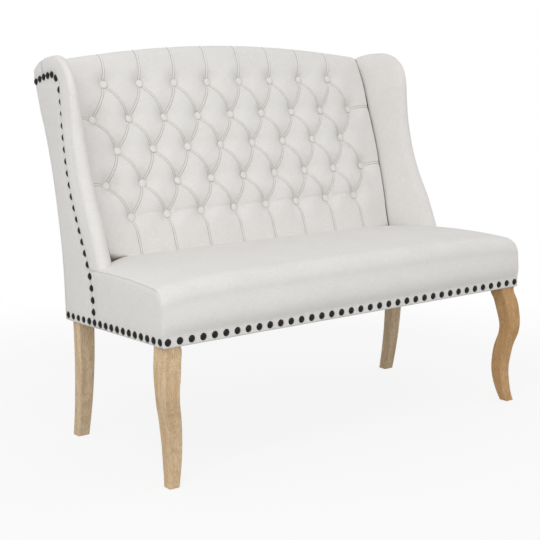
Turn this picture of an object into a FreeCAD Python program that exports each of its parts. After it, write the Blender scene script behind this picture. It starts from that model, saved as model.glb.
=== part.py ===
import FreeCAD, Part
import math
import os

V = FreeCAD.Vector
os.makedirs("parts", exist_ok=True)

# Two-seater settee with a tufted back, wings, nail trim and wooden legs.
# Millimetres, Z up, the settee faces -Y. While it is built, y is zero at the front of the seat box.

# Overall sizes
seat_width = 1200.0
seat_box_depth = 491.0
side_taper = 22.0
front_leg_height = 335.0
rear_leg_height = 314.0
seat_side_height = 468.0
wing_top_height = 986.0
crest_height = 1008.0
crest_rise = 35.0

# Clearances and cloth
soft_gap = 0.5
fit_gap = 0.3
thread_gap = 0.1
overrun = 40.0
short_overrun = 4.0
cloth = 3.0
dust_cloth = 1.0

# Timber
rail_thickness = 18.0
rail_height = 85.0
centre_rail_height = 60.0
side_board_thickness = 9.0
back_frame_thickness = 9.0
top_rail_height = 42.5
upright_width = 50.0
upright_spacing = 400.0
button_board_thickness = 3.0
block_leg = 64.0
block_height = 40.0

# Seat
seat_crown = 19.0
seat_front_bulge = 9.0
seat_edge_radius = 43.0
seat_top_rise = 4.0
seat_rear_drop = 10.0
seat_join_depth = 409.0
nail_band = 27.0
web_width = 50.0
web_thickness = 1.5
web_end_margin = 6.0
web_count = 9
cross_web_count = 3

# Back
back_foot_depth = 474.5
back_foot_height = 564.0
button_field_height = 342.0
button_field_lean = 127.0
button_pitch = 111.6
button_diameter = 20.6
button_thickness = 6.5
button_seat = 23.0
pillow_height = 28.0
pleat_width = 3.0
pleat_rise = 8.0
pleat_sag = 0.3
end_rise = 18.0
end_pleat_rise = 5.0
foam_behind_button = 5.0
back_bottom_height = 432.0
crest_padding = 22.0
crest_wrap = 12.0
crest_lap = 1.0
arch_half_span = 492.0

# Wings
wing_foot_depth = 300.0
wing_rear_depth = 637.0
wing_roll_thickness = 48.0
wing_inner_flare = 0.27
wing_front_slope = 0.34
wing_foot_height = 463.0
board_edge_margin = 14.0

# Legs
leg_inset = 4.0
leg_top_width = 46.5
leg_swing = 12.6
leg_edge_round = 4.0
rear_leg_inset = 7.0
rear_leg_top_depth = 32.0
rear_leg_foot_depth = 30.0
rear_leg_foot_width = 33.0
rear_leg_back_margin = 21.0
rear_leg_sweep = 42.0
leg_bolt_diameter = 8.0
leg_bolt_up = 54.0
leg_bolt_down = 40.0
leg_bolt_inset = 40.0
nut_width = 13.0
nut_height = 6.5
washer_diameter = 17.0
washer_thickness = 1.6
glide_diameter = 16.0
glide_thickness = 2.0
glide_pin_diameter = 2.5
glide_pin_length = 12.0

# Trim
nail_diameter = 18.2
nail_height = 4.6
nail_line_height = 13.5
front_nail_count = 37
front_nail_span = 1176.0
side_nail_count = 17
side_nail_start = 16.0
side_nail_end = 480.0
wing_nail_count = 20
wing_top_nail_count = 6

# Screws
screw_diameter = 4.0
screw_head_diameter = 8.0
screw_head_height = 2.4
screw_length = 34.0
block_screw_inset = 38.0
block_screw_depth = 14.0
rail_screw_margin = 24.0


rake = math.atan((front_leg_height - rear_leg_height) / seat_box_depth)
back_slope = button_field_lean / button_field_height
back_angle = math.atan(back_slope)


# Helpers

def side_x(y):
    return seat_width / 2 - side_taper * y / seat_box_depth


def back_y(z):
    return back_foot_depth + back_slope * (z - back_foot_height)


def raked(shape):
    """Move a shape from the flat seat box to its place on the raked underside."""
    shape = shape.copy()
    shape.translate(V(0, 0, front_leg_height))
    shape.rotate(V(0, 0, front_leg_height), V(1, 0, 0), -math.degrees(rake))
    return shape


def box(x0, x1, y0, y1, z0, z1):
    return Part.makeBox(x1 - x0, y1 - y0, z1 - z0, V(x0, y0, z0))


def plate_from_plan(points, z0, z1):
    corners = [V(x, y, z0) for x, y in points]
    face = Part.Face(Part.makePolygon(corners + corners[:1]))
    return face.extrude(V(0, 0, z1 - z0))


def side_slab(inset_a, inset_b, y0, y1, z0, z1):
    """A slab parallel to the right side, between two insets from its outer face."""
    plan = [(side_x(y0) - inset_a, y0), (side_x(y1) - inset_a, y1),
            (side_x(y1) - inset_b, y1), (side_x(y0) - inset_b, y0)]
    return plate_from_plan(plan, z0, z1)


def tapered_plan(inset, y0, y1):
    """The settee's plan between two depths, its sides moved in by inset."""
    right = [(side_x(y0) - inset, y0), (side_x(y1) - inset, y1)]
    return right + [(-x, y) for x, y in right[::-1]]


def mirrored(shape):
    return shape.mirror(V(0, 0, 0), V(1, 0, 0))


def cylinder(radius, height, base, direction=V(0, 0, 1)):
    return Part.makeCylinder(radius, height, base, direction)


def arc(a, b, c):
    return Part.Arc(a, b, c).toShape()


def line(a, b):
    return Part.LineSegment(a, b).toShape()


def between(low, high, share):
    return low + (high - low) * share


def only_solid(shape):
    """The largest solid of a cut, as a plain solid."""
    return max(shape.Solids, key=lambda s: s.Volume)


nodes = {}


def save(name, shape):
    nodes[name] = shape.Solids[0] if len(shape.Solids) == 1 else shape


def save_pair(name, shape):
    """Save a right-hand piece and its mirrored twin."""
    save("right_" + name, shape)
    save("left_" + name, mirrored(shape))


# Side outline of a wing: front and top edge, then rear edge, each as shares of the wing's own spans
front_edge_depth_shares = [0.006, 0.105, 0.212, 0.295, 0.359, 0.389, 0.407, 0.451, 0.525, 0.599, 0.677, 0.816, 0.944]
front_edge_height_shares = [0.000, 0.180, 0.313, 0.444, 0.602, 0.737, 0.834, 0.915, 0.965, 0.990, 1.000, 0.988, 0.960]
rear_edge_depth_shares = [0.966, 1.000, 0.822, 0.620, 0.414, 0.250, 0.075, 0.000]
rear_edge_height_shares = [0.960, 0.936, 0.8155, 0.716, 0.589, 0.449, 0.247, 0.000]
nail_path_depth_shares = [0.117, 0.136, 0.188, 0.307, 0.420, 0.494, 0.536, 0.553, 0.574, 0.611, 0.687, 0.816, 0.985]
nail_path_height_shares = [0.000, 0.147, 0.237, 0.363, 0.482, 0.612, 0.740, 0.833, 0.874, 0.909, 0.929, 0.920, 0.897]


def spread(shares, low, high):
    return [between(low, high, share) for share in shares]


def front_edge():
    depths = spread(front_edge_depth_shares, wing_foot_depth, wing_rear_depth)
    return list(zip(depths, spread(front_edge_height_shares, seat_side_height, wing_top_height)))


def rear_edge():
    depths = spread(rear_edge_depth_shares, seat_box_depth, wing_rear_depth)
    return list(zip(depths, spread(rear_edge_height_shares, rear_leg_height, wing_top_height)))


def nail_path():
    depths = spread(nail_path_depth_shares, wing_foot_depth, wing_rear_depth)
    return list(zip(depths, spread(nail_path_height_shares, rear_leg_height, wing_top_height)))


def inset_edge(points, inset):
    """Move an open edge along its own normals, to its right."""
    moved = []
    for i, (y, z) in enumerate(points):
        y0, z0 = points[max(i - 1, 0)]
        y1, z1 = points[min(i + 1, len(points) - 1)]
        run = math.hypot(y1 - y0, z1 - z0)
        moved.append((y + inset * (z1 - z0) / run, z - inset * (y1 - y0) / run))
    return moved


def arc_chain(points):
    return [arc(points[i], points[i + 1], points[i + 2]) for i in range(0, len(points) - 1, 2)]


def wing_wire(inset, rear_inset, place):
    """The wing's outline as one closed wire; place() puts a depth and a height into space."""
    front = inset_edge(front_edge(), inset)
    rear = [(y - rear_inset, z) for y, z in rear_edge()]
    corner = arc_middle(front[-1], (rear[1][0], rear[1][1] - inset))
    rear[0] = corner
    rear[1] = (rear[1][0], rear[1][1] - inset)
    low = (front[0][0], rear_leg_height)
    p = [place(y, z) for y, z in front]
    q = [place(y, z) for y, z in rear]
    start = place(*low)
    edges = [line(start, p[0])] + arc_chain(p) + [arc(p[-1], q[0], q[1])] + arc_chain(q[1:]) + [line(q[-1], start)]
    return Part.Wire(edges)


def arc_middle(a, b):
    """A point on a rounded corner from a, which runs level, to b, which runs down."""
    corner_share = 0.72
    return (between(a[0], b[0], corner_share), between(b[1], a[1], corner_share))


# Wing form: a board-like body whose front and top edges are half-round rolls

roll_station_shares = [0.0, 0.06, 0.2, 0.5, 0.8, 0.94, 1.0]


def wing_form(inset, rear_inset):
    """The right wing's padded body, every face moved in by inset."""
    thickness = wing_roll_thickness - 2 * inset
    wires = []
    for share in roll_station_shares:
        across = 2 * share - 1
        roll = wing_roll_thickness / 2 - inset
        set_back = roll * (1 - math.sqrt(1 - across * across)) + inset

        def place(y, z):
            flare = wing_inner_flare * (y - wing_foot_depth - wing_front_slope * (z - seat_side_height))
            return V(side_x(y) - inset - share * (thickness + flare), y, z)

        wires.append(wing_wire(set_back, rear_inset, place))
    return Part.makeLoft(wires, True, False)


def wing_inner_x(y, z):
    flare = wing_inner_flare * (y - wing_foot_depth - wing_front_slope * (z - seat_side_height))
    return side_x(y) - wing_roll_thickness - flare


def below_box():
    """Everything under the raked underside of the seat box."""
    return raked(box(-seat_width, seat_width, -seat_box_depth, 2 * seat_box_depth, -front_leg_height * 2, 0))


def flat_prism(wire, x0, x1):
    """Push a closed wire of the plane x = 0 along x."""
    face = Part.Face(wire)
    solid = face.extrude(V(x1 - x0, 0, 0))
    solid.translate(V(x0, 0, 0))
    return solid


def in_plane(y, z):
    return V(0, y, z)


# Seat form: profiles from front to rear, one after another across the seat

seat_station_shares = [0.0, 0.004, 0.012, 0.026, 0.05, 0.09, 0.16, 0.28, 0.5]
seat_station_crown_shares = [0.0, 0.14, 0.29, 0.46, 0.64, 0.79, 0.91, 0.98, 1.0]


def seat_profile(place, crown_share, inset):
    """The seat's outline from front to rear as a closed wire; place() puts a depth and a height into space."""
    crown = seat_crown * crown_share - inset
    bulge = seat_front_bulge * between(0.3, 1.0, crown_share) - inset
    band_top = front_leg_height + nail_band
    top = seat_side_height
    edge = seat_edge_radius
    corner_share = 0.27
    low = rear_leg_height - nail_band
    rear = seat_join_depth - inset
    a = place(inset, low)
    b = place(inset, band_top)
    side_middle = place(-bulge, between(band_top, top - edge, 0.5))
    c = place(inset, top - edge + 0.3 * crown)
    corner = place(edge * corner_share + inset, top - edge * corner_share + 0.75 * crown)
    d = place(edge + inset, top + crown)
    crest = place(between(edge, seat_join_depth, 0.3), top + seat_top_rise + crown)
    e = place(rear, top - seat_rear_drop + crown)
    f = place(rear, low)
    edges = [line(a, b), arc(b, side_middle, c), arc(c, corner, d), arc(d, crest, e), line(e, f), line(f, a)]
    return Part.Wire(edges)


def seat_form(inset, side_inset):
    stations = list(zip(seat_station_shares, seat_station_crown_shares))
    stations += [(1 - share, crown) for share, crown in stations[-2::-1]]
    wires = []
    for share, crown in stations:

        def place(y, z):
            return V((2 * share - 1) * (side_x(y) - side_inset), y, z)

        wires.append(seat_profile(place, crown, inset))
    return Part.makeLoft(wires, True, True)


# Back form: level sections through the pillows, joined by straight rulings

row_height_shares = [0.0, 0.243, 0.497, 0.734, 1.0]
quarter_shares = [0.25, 0.5, 0.75]
below_row_shares = [0.0, 0.18, 0.38, 0.62, 0.86]
above_row_shares = [0.20, 0.48, 0.73, 0.88, 0.97]
below_shape_shares = [(0.0, 0.21, 0.07), (0.11, 0.50, 0.29), (0.32, 0.82, 0.57), (0.29, 0.93, 0.64), (0.18, 1.0, 0.64)]
above_shape_shares = [(0.21, 1.0, 0.64), (0.29, 0.89, 0.71), (0.29, 0.64, 0.64), (0.07, 0.39, 0.29), (-0.43, 0.18, -0.32)]
arch_shares = [0.15, 0.5, 0.85, 1.0, 1.0]
row_counts = [8, 9, 8, 9, 8]


def row_heights():
    return [back_foot_height + button_field_height * share for share in row_height_shares]


def arch_drop(x, share):
    return share * crest_rise * (x / arch_half_span) ** 2


def back_levels():
    """Each level: height, how open the pleats are, valley rise, pillow height, rise at the ends, arch share."""
    rows = row_heights()
    levels = []
    below = back_foot_height - back_bottom_height
    for share, shape_shares in zip(below_row_shares, below_shape_shares):
        rise, pillow, end = [pillow_height * part for part in shape_shares]
        levels.append((back_bottom_height + share * below, -1, rise, pillow, end, 0))
    for i, z in enumerate(rows):
        opened = i % 2
        levels.append((z, opened, 0, pillow_height, end_pleat_rise if opened else end_rise, 0))
        if i + 1 < len(rows):
            for q in quarter_shares:
                u = between(opened, 1 - opened, q)
                end = between(end_rise, end_pleat_rise, u * u)
                rise = pleat_rise * math.sin(math.pi * q)
                levels.append((between(z, rows[i + 1], q), u, rise, pillow_height, end, 0))
    above = crest_height - rows[-1]
    for share, shape_shares, arch in zip(above_row_shares, above_shape_shares, arch_shares):
        rise, pillow, end = [pillow_height * part for part in shape_shares]
        levels.append((rows[-1] + share * above, -1, rise, pillow, end, arch))
    return levels


def opening_width(u):
    if u < 0:
        return pleat_width
    return min(max(u * button_pitch, button_seat), button_pitch - button_seat)


def pillow_sag(width, height):
    full = button_pitch - button_seat
    if width <= button_seat:
        return pleat_sag
    return height * (width / full) ** 1.2


def end_point(z, forward, inset, arch):
    """Where a level meets the wing's inner face, with the arch's full drop."""
    low = z - (crest_rise + inset) * arch
    y = back_y(low) - forward + inset
    return V(wing_inner_x(y, low) - soft_gap - inset, y, low)


def front_points(level, inset):
    """Valley and crest points across one level, from the left wing to the right one."""
    z, u, rise, pillow, end, arch = level
    centres = [(i + 0.5 - row_counts[0] / 2) * button_pitch for i in range(row_counts[0])]
    half = opening_width(u) / 2
    valleys = []
    for x in centres:
        valleys += [x - half, x + half]

    def place(x, forward):
        low = z - arch_drop(x, arch) - inset * arch
        return V(x, back_y(low) - forward + inset, low)

    right = end_point(z, end, inset, arch)
    left = V(-right.x, right.y, right.z)
    stops = [-right.x] + valleys + [right.x]
    forwards = [end] + [rise] * len(valleys) + [end]
    corners = [left] + [place(x, rise) for x in valleys] + [right]
    points = [left]
    for i in range(len(stops) - 1):
        at_end = i in (0, len(stops) - 2)
        sag = pillow_sag(stops[i + 1] - stops[i], pillow) * (0.5 if at_end else 1)
        middle = place((stops[i] + stops[i + 1]) / 2, (forwards[i] + forwards[i + 1]) / 2 + sag)
        points += [middle, corners[i + 1]]
    return points


def rear_points(z, offset, inset, inner, arch):
    """A row of points on the reclined plane that lies offset behind the buttons."""
    right = end_point(z, -offset - inset, inset, arch)
    right.y = back_y(right.z) + offset
    right.x = wing_inner_x(right.y, right.z) - soft_gap - inset
    row = []
    for x in inner:
        low = z - arch_drop(x, arch) - inset * arch
        row.append(V(x, back_y(low) + offset, low))
    return [V(-right.x, right.y, right.z)] + row + [right]


def sewn(faces):
    shell = Part.Shell(faces)
    shell.sewShape()
    solid = Part.Solid(shell)
    if solid.Volume < 0:
        solid.reverse()
    return solid


def polygon_face(points):
    return Part.Face(Part.makePolygon(points + points[:1]))


def strips(first, second):
    """Ruled strips between two rows of edges."""
    return [Part.makeRuledSurface(a, b) for a, b in zip(first, second)]


def lines_through(points):
    return [line(points[i], points[i + 1]) for i in range(len(points) - 1)]


def back_form(inset, rear, wrap):
    """The tufted pad: every front face moved back by inset, its rear face at rear behind the buttons."""
    levels = back_levels()
    rows = [front_points(level, inset) for level in levels]
    faces = []
    arcs = [arc_chain(row) for row in rows]
    for low, high in zip(arcs, arcs[1:]):
        faces += strips(low, high)
    inner = [point.x for point in rows[-1][2:-2:2]]
    rail_top = crest_height - crest_padding + inset
    ledge = rear_points(rail_top, rear, inset, inner, 1)
    step = rear_points(rail_top, rear + wrap, inset, inner, 1)
    top = rear_points(crest_height - crest_padding / 3, rear + wrap, inset, inner, 1)
    bottom = rear_points(levels[0][0], rear, inset, [], 0)
    faces += strips(arcs[-1], lines_through(top))
    faces += strips(lines_through(ledge), lines_through(step))
    faces.append(polygon_face(step + top[::-1]))
    faces.append(polygon_face(bottom + ledge[::-1]))
    faces.append(Part.Face(Part.Wire(arcs[0] + lines_through([rows[0][-1], bottom[1], bottom[0], rows[0][0]]))))
    for side in (0, -1):
        edge = [row[side] for row in rows]
        faces.append(polygon_face(edge + [top[side], step[side], ledge[side], bottom[side]]))
    return sewn(faces)



# Cutters that several pieces share

far = 2 * seat_width


def side_board_cutter(extra):
    """The right side board: wing, rear post and seat side in one profile, grown by extra."""
    wing = flat_prism(wing_wire(board_edge_margin - extra, cloth - extra, in_plane), 0, far)
    seat_rise = front_leg_height + dust_cloth + rail_height + extra
    foot = Part.makePolygon([V(0, cloth - extra, rear_leg_height - nail_band),
                             V(0, seat_box_depth / 2, rear_leg_height - nail_band),
                             V(0, seat_box_depth - cloth, rear_leg_height - nail_band),
                             V(0, seat_box_depth - cloth, seat_rise - math.tan(rake) * seat_box_depth),
                             V(0, cloth - extra, seat_rise), V(0, cloth - extra, rear_leg_height - nail_band)])
    seat = flat_prism(foot, 0, far)
    slab = side_slab(cloth + fit_gap - extra, cloth + fit_gap + side_board_thickness + extra,
                     -overrun, 2 * seat_box_depth, 0, 2 * crest_height)
    return wing.fuse(seat).common(slab)


def between_boards(gap):
    """Everything between the two side boards."""
    inset = cloth + fit_gap + side_board_thickness + gap
    return plate_from_plan(tapered_plan(inset, -overrun, 2 * seat_box_depth), 0, 2 * crest_height)


def back_slab(a, b, z0, z1):
    """A slab of the reclined back, between two distances behind the buttons."""
    wire = Part.makePolygon([V(0, back_y(z0) + a, z0), V(0, back_y(z1) + a, z1), V(0, back_y(z1) + b, z1),
                             V(0, back_y(z0) + b, z0), V(0, back_y(z0) + a, z0)])
    return flat_prism(wire, -seat_width, seat_width)


def under_arch(top):
    """Everything below an arch that is top high in the middle."""
    ends = top - crest_rise * (seat_width / 2 / arch_half_span) ** 2
    edges = [arc(V(-seat_width / 2, 0, ends), V(0, 0, top), V(seat_width / 2, 0, ends)),
             line(V(seat_width / 2, 0, ends), V(seat_width / 2, 0, 0)),
             line(V(seat_width / 2, 0, 0), V(-seat_width / 2, 0, 0)),
             line(V(-seat_width / 2, 0, 0), V(-seat_width / 2, 0, ends))]
    return Part.Face(Part.Wire(edges)).extrude(V(0, 2 * seat_box_depth, 0))


def nail_path_prism(grow):
    """Everything behind the wing's nail line, grown forwards and upwards."""
    margin = nail_diameter * 0.4
    path = inset_edge(nail_path(), -margin - grow)
    last_y, last_z = path[-1]
    first_y, first_z = path[0]
    low = rear_leg_height - nail_band
    points = [V(0, y, z) for y, z in path]
    edges = arc_chain(points)
    edges += lines_through([points[-1], V(0, last_y + overrun, last_z), V(0, last_y + overrun, low),
                            V(0, first_y, low), points[0]])
    return flat_prism(Part.Wire(edges), 0, far)


def outside_zone(grow):
    """The outer cloth panel of the right side behind the nails, grown by grow."""
    slab = side_slab(-grow, cloth + grow, -overrun, 2 * seat_box_depth, 0, 2 * crest_height)
    return nail_path_prism(grow).common(slab)


underside = below_box()


# Timber frame

rail_front = cloth + fit_gap + rail_thickness + fit_gap
rail_rear = seat_box_depth - cloth - fit_gap - rail_thickness - fit_gap
board_inner = cloth + fit_gap + side_board_thickness + fit_gap
block_inset = board_inner + rail_thickness + fit_gap
side_outward = V(seat_box_depth, side_taper, 0).normalize()
frame_depth = foam_behind_button + fit_gap + button_board_thickness + fit_gap
back_rail_top = crest_height - crest_padding - 2 * soft_gap
top_rail_low = back_rail_top - crest_rise - top_rail_height
lower_rail_top = seat_side_height + rail_height


def screw(place, direction):
    """A screw with its head flush at place, driven along direction."""
    head = cylinder(screw_head_diameter / 2, screw_head_height, place, direction)
    shank = cylinder(screw_diameter / 2, screw_length, place, direction)
    return head.fuse(shank)


def block_screws():
    """Two screws in each right-hand corner block, one into each rail that it stiffens."""
    screws = []
    height = dust_cloth + block_height / 2
    back_off = screw_length - block_screw_depth
    for corner_y, inward in ((rail_front, 1), (rail_rear, -1)):
        x = side_x(corner_y) - block_inset - block_screw_inset
        screws.append(raked(screw(V(x, corner_y + inward * back_off, height), V(0, -inward, 0))))
        y = corner_y + inward * block_screw_inset
        start = V(side_x(y) - block_inset, y, height) - side_outward * back_off
        screws.append(raked(screw(start, side_outward)))
    return screws


def board_screws():
    """Screws through the right side board into the ends of the seat rails and the back rails."""
    places = []
    front_y = cloth + fit_gap + rail_thickness / 2
    rear_y = seat_box_depth - cloth - fit_gap - rail_thickness / 2
    for y in (front_y, rear_y):
        for height in (rail_screw_margin, rail_height - rail_screw_margin):
            places.append((y, front_leg_height + height - math.tan(rake) * y))
    top_middle = top_rail_low + top_rail_height / 2
    for z in (seat_side_height + rail_screw_margin, lower_rail_top - rail_screw_margin, top_middle):
        places.append((back_y(z) + frame_depth + back_frame_thickness / 2, z))
    screws = []
    for y, z in places:
        start = V(side_x(y), y, z) - side_outward * (cloth + fit_gap)
        screws.append(screw(start, side_outward * -1))
    return screws


def bored(shape, screws):
    """The shape with the screws' holes, for the right-hand screws and their mirrored twins."""
    return shape.cut(Part.makeCompound(screws + [mirrored(one) for one in screws]))


def end_rail(y0):
    """A seat rail from board to board, its front face at y0."""
    rail = raked(box(-far, far, y0, y0 + rail_thickness, dust_cloth, dust_cloth + rail_height))
    return bored(rail.common(between_boards(fit_gap)), block_screws() + board_screws())


def side_rail():
    rail = raked(side_slab(board_inner, board_inner + rail_thickness, rail_front, rail_rear,
                           dust_cloth, dust_cloth + rail_height))
    return bored(rail, block_screws())


def centre_rail():
    half = rail_thickness / 2
    return raked(box(-half, half, rail_front, rail_rear, dust_cloth, dust_cloth + centre_rail_height))


def leg_centre(at_front):
    """The place of a right-hand leg's bolt on the underside."""
    if at_front:
        return V(side_x(leg_bolt_inset) - leg_bolt_inset, leg_bolt_inset, 0)
    y = seat_box_depth - rear_leg_back_margin - rear_leg_top_depth / 2
    return V(side_x(y) - leg_bolt_inset, y, 0)


def corner_block(at_front):
    """A triangular block in the corner of the seat frame, which the leg is bolted to."""
    corner_y = rail_front if at_front else rail_rear
    reach = block_leg if at_front else -block_leg
    x = side_x(corner_y) - block_inset
    end_x = side_x(corner_y + reach) - block_inset
    plan = [(x, corner_y), (x - block_leg, corner_y), (end_x, corner_y + reach)]
    block = plate_from_plan(plan, dust_cloth, dust_cloth + block_height)
    hole = cylinder(leg_bolt_diameter / 2 + fit_gap, 3 * overrun, leg_centre(at_front) - V(0, 0, overrun))
    return bored(raked(block.cut(hole)), block_screws())


def side_board():
    lift = raked(box(-far, far, -far, far, -far, dust_cloth))
    return bored(side_board_cutter(0).cut(lift), board_screws())


def back_rail(z0, z1):
    """A rail of the reclined back, from board to board, under the arch of the crest."""
    rail = back_slab(frame_depth, frame_depth + back_frame_thickness, z0, z1)
    return bored(rail.common(between_boards(fit_gap)).common(under_arch(back_rail_top)), board_screws())


def upright(x):
    post = back_slab(frame_depth, frame_depth + back_frame_thickness, lower_rail_top, top_rail_low)
    return post.common(box(x - upright_width / 2, x + upright_width / 2, 0, far, 0, far))


def button_board():
    """The board behind the tufting, which the button twine is stapled to."""
    a = foam_behind_button + fit_gap
    board = back_slab(a, a + button_board_thickness, back_bottom_height, back_rail_top)
    return board.common(between_boards(fit_gap)).common(under_arch(back_rail_top))


# Seat pieces

web_top = dust_cloth + rail_height + 2 * web_thickness


def webbing():
    top = dust_cloth + rail_height
    inner = seat_width / 2 - block_inset - web_width / 2
    straps = []
    for i in range(web_count):
        x = between(-inner, inner, i / (web_count - 1))
        strap = box(x - web_width / 2, x + web_width / 2, web_end_margin, seat_box_depth - web_end_margin,
                    top, top + web_thickness)
        straps.append(raked(strap))
    return Part.makeCompound(straps)


def cross_webbing():
    top = dust_cloth + rail_height + web_thickness
    straps = []
    for i in range(cross_web_count):
        y = seat_box_depth * (i + 1) / (cross_web_count + 1)
        reach = side_x(y) - board_inner
        strap = box(-reach, reach, y - web_width / 2, y + web_width / 2, top, top + web_thickness)
        straps.append(raked(strap))
    return Part.makeCompound(straps)


def wing_notch(grow):
    """The right wing's space in the seat."""
    return wing_form(-grow, -overrun)


def seat_cover():
    outer = seat_form(0, cloth + fit_gap)
    inner = seat_form(cloth, cloth + fit_gap - short_overrun)
    cover = outer.cut(inner)
    notch = wing_notch(soft_gap)
    open_rear = raked(box(-far, far, overrun, far, -far, web_top + soft_gap))
    return only_solid(cover.cut(Part.makeCompound([underside, open_rear, notch, mirrored(notch)])))


def seat_foam():
    foam = seat_form(cloth + fit_gap, cloth + fit_gap)
    floor = raked(box(-far, far, -far, far, -far, web_top))
    above = box(-far, far, -far, far, wing_foot_height - 2 * soft_gap, far)
    notch = wing_notch(soft_gap).common(above)
    board = side_slab(-soft_gap, cloth + fit_gap + side_board_thickness + soft_gap,
                      wing_foot_depth, 2 * seat_box_depth, 0, far)
    tools = [floor, notch, mirrored(notch), board, mirrored(board)]
    return only_solid(foam.cut(Part.makeCompound(tools)))


def seat_side_panel():
    """The boxed cloth panel at the seat's right end, with the curved seam along its top."""
    prism = flat_prism(seat_profile(in_plane, 0, 0), 0, far)
    slab = side_slab(0, cloth, -overrun, 2 * seat_box_depth, 0, far)
    foot = wing_notch(soft_gap).common(box(-far, far, -far, far, wing_foot_height - soft_gap, far))
    panel = prism.common(slab)
    panel = panel.cut(Part.makeCompound([underside, foot, nail_path_prism(fit_gap)]))
    return only_solid(panel)


def dust_cover():
    inset = cloth + fit_gap
    y0 = inset
    y1 = seat_box_depth - inset
    sheet = plate_from_plan(tapered_plan(inset, y0, y1), 0, dust_cloth)
    for at_front in (True, False):
        hole = cylinder(leg_bolt_diameter / 2 + fit_gap, overrun, leg_centre(at_front) - V(0, 0, overrun / 2))
        sheet = sheet.cut(hole).cut(mirrored(hole))
    return raked(sheet)


# Wing pieces

def back_zone():
    """Space of the back frame between the side boards, behind the tufted pad."""
    slab = back_slab(foam_behind_button - soft_gap, far, 0, 2 * crest_height)
    return slab.common(between_boards(0))


def wing_keep_out(extra):
    below = box(-far, far, -far, far, 0, wing_foot_height + extra)
    return [side_board_cutter(fit_gap), back_zone(), below]


def wing_cover():
    outer = wing_form(0, cloth + fit_gap)
    inner = wing_form(cloth, -overrun)
    shell = outer.cut(inner)
    return only_solid(shell.cut(Part.makeCompound(wing_keep_out(0) + [outside_zone(fit_gap)])))


def wing_foam():
    foam = wing_form(cloth + fit_gap, cloth + fit_gap)
    return only_solid(foam.cut(Part.makeCompound(wing_keep_out(fit_gap))))


def outside_panel():
    wing = flat_prism(wing_wire(0, cloth + fit_gap, in_plane), 0, far)
    return only_solid(outside_zone(0).common(wing).cut(underside))


def outside_back():
    """The cloth panel that closes the back, from the seat's underside to the crest."""
    outer = rear_edge()[1:]
    top_y, top_z = outer[0]
    low_y, low_z = outer[-1]
    ridge = crest_height - crest_padding / 2
    lean = back_slope * (ridge - top_z)
    edges = arc_chain([in_plane(y, z) for y, z in outer])
    edges += arc_chain([in_plane(y - cloth, z) for y, z in outer])
    edges += lines_through([in_plane(top_y, top_z), in_plane(top_y + lean, ridge),
                            in_plane(top_y + lean - cloth, ridge), in_plane(top_y - cloth, top_z)])
    edges.append(line(in_plane(low_y, low_z), in_plane(low_y - cloth, low_z)))
    panel = flat_prism(Part.Wire(Part.__sortEdges__(edges)), -seat_width, seat_width)
    plan = plate_from_plan(tapered_plan(0, 0, 2 * seat_box_depth), 0, 2 * crest_height)
    corner = box(wing_inner_x(top_y, top_z), far, 0, far, top_z, far)
    panel = panel.common(plan).common(under_arch(ridge))
    return only_solid(panel.cut(Part.makeCompound([underside, corner, mirrored(corner)])))


# Back pad

def button_places():
    places = []
    for count, z in zip(row_counts, row_heights()):
        for i in range(count):
            places.append(V((i - (count - 1) / 2) * button_pitch, back_y(z), z))
    return places


outward = V(0, -math.cos(back_angle), math.sin(back_angle))


def pockets(radius, depth):
    return Part.makeCompound([cylinder(radius, overrun, place - outward * depth, outward)
                              for place in button_places()])


def back_cover():
    outer = back_form(0, foam_behind_button, crest_wrap)
    inner = back_form(cloth, foam_behind_button + overrun, crest_lap)
    radius = button_diameter / 2 + fit_gap
    outer = outer.cut(pockets(radius, 0))
    inner = inner.cut(pockets(radius + cloth, cloth))
    return only_solid(outer.cut(inner))


def back_foam():
    gap = cloth + fit_gap
    foam = back_form(gap, foam_behind_button, crest_wrap - cloth)
    return only_solid(foam.cut(pockets(button_diameter / 2 + fit_gap + gap, gap)))


def dome(radius, height, base, direction):
    ball = (radius * radius + height * height) / (2 * height)
    latitude = math.degrees(math.asin((ball - height) / ball))
    cap = Part.makeSphere(ball, V(0, 0, 0), V(0, 0, 1), latitude, 90, 360)
    cap.translate(V(0, 0, height - ball))
    turn = FreeCAD.Rotation(V(0, 0, 1), direction)
    cap.Placement = FreeCAD.Placement(base, turn).multiply(cap.Placement)
    return cap


def buttons():
    solids = []
    rim = button_thickness * 0.35
    for place in button_places():
        base = place + outward * fit_gap
        body = cylinder(button_diameter / 2, rim, base, outward)
        cap = dome(button_diameter / 2, button_thickness - rim, base + outward * rim, outward)
        solids.append(body.fuse(cap).removeSplitter())
    return Part.makeCompound(solids)


# Nails

def nail(place, direction):
    return dome(nail_diameter / 2, nail_height, place, direction)


def front_nails():
    solids = []
    for i in range(front_nail_count):
        x = between(-front_nail_span / 2, front_nail_span / 2, i / (front_nail_count - 1))
        solids.append(nail(V(x, 0, front_leg_height + nail_line_height), V(0, -1, 0)))
    return Part.makeCompound(solids)


def side_nails():
    solids = []
    for i in range(side_nail_count):
        y = between(side_nail_start, side_nail_end, i / (side_nail_count - 1))
        z = front_leg_height + nail_line_height - math.tan(rake) * y
        solids.append(nail(V(side_x(y), y, z), side_outward))
    return Part.makeCompound(solids)


def point_along(wire, share):
    """The point at a share of a wire's length."""
    want = wire.Length * share
    for edge in wire.Edges:
        if want <= edge.Length:
            return edge.valueAt(edge.getParameterByLength(want))
        want -= edge.Length
    return wire.Edges[-1].valueAt(wire.Edges[-1].LastParameter)


nail_rise_span_shares = [0.075, 1.0]
nail_top_span_shares = [0.22, 0.97]
nail_path_turn = 8


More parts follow.
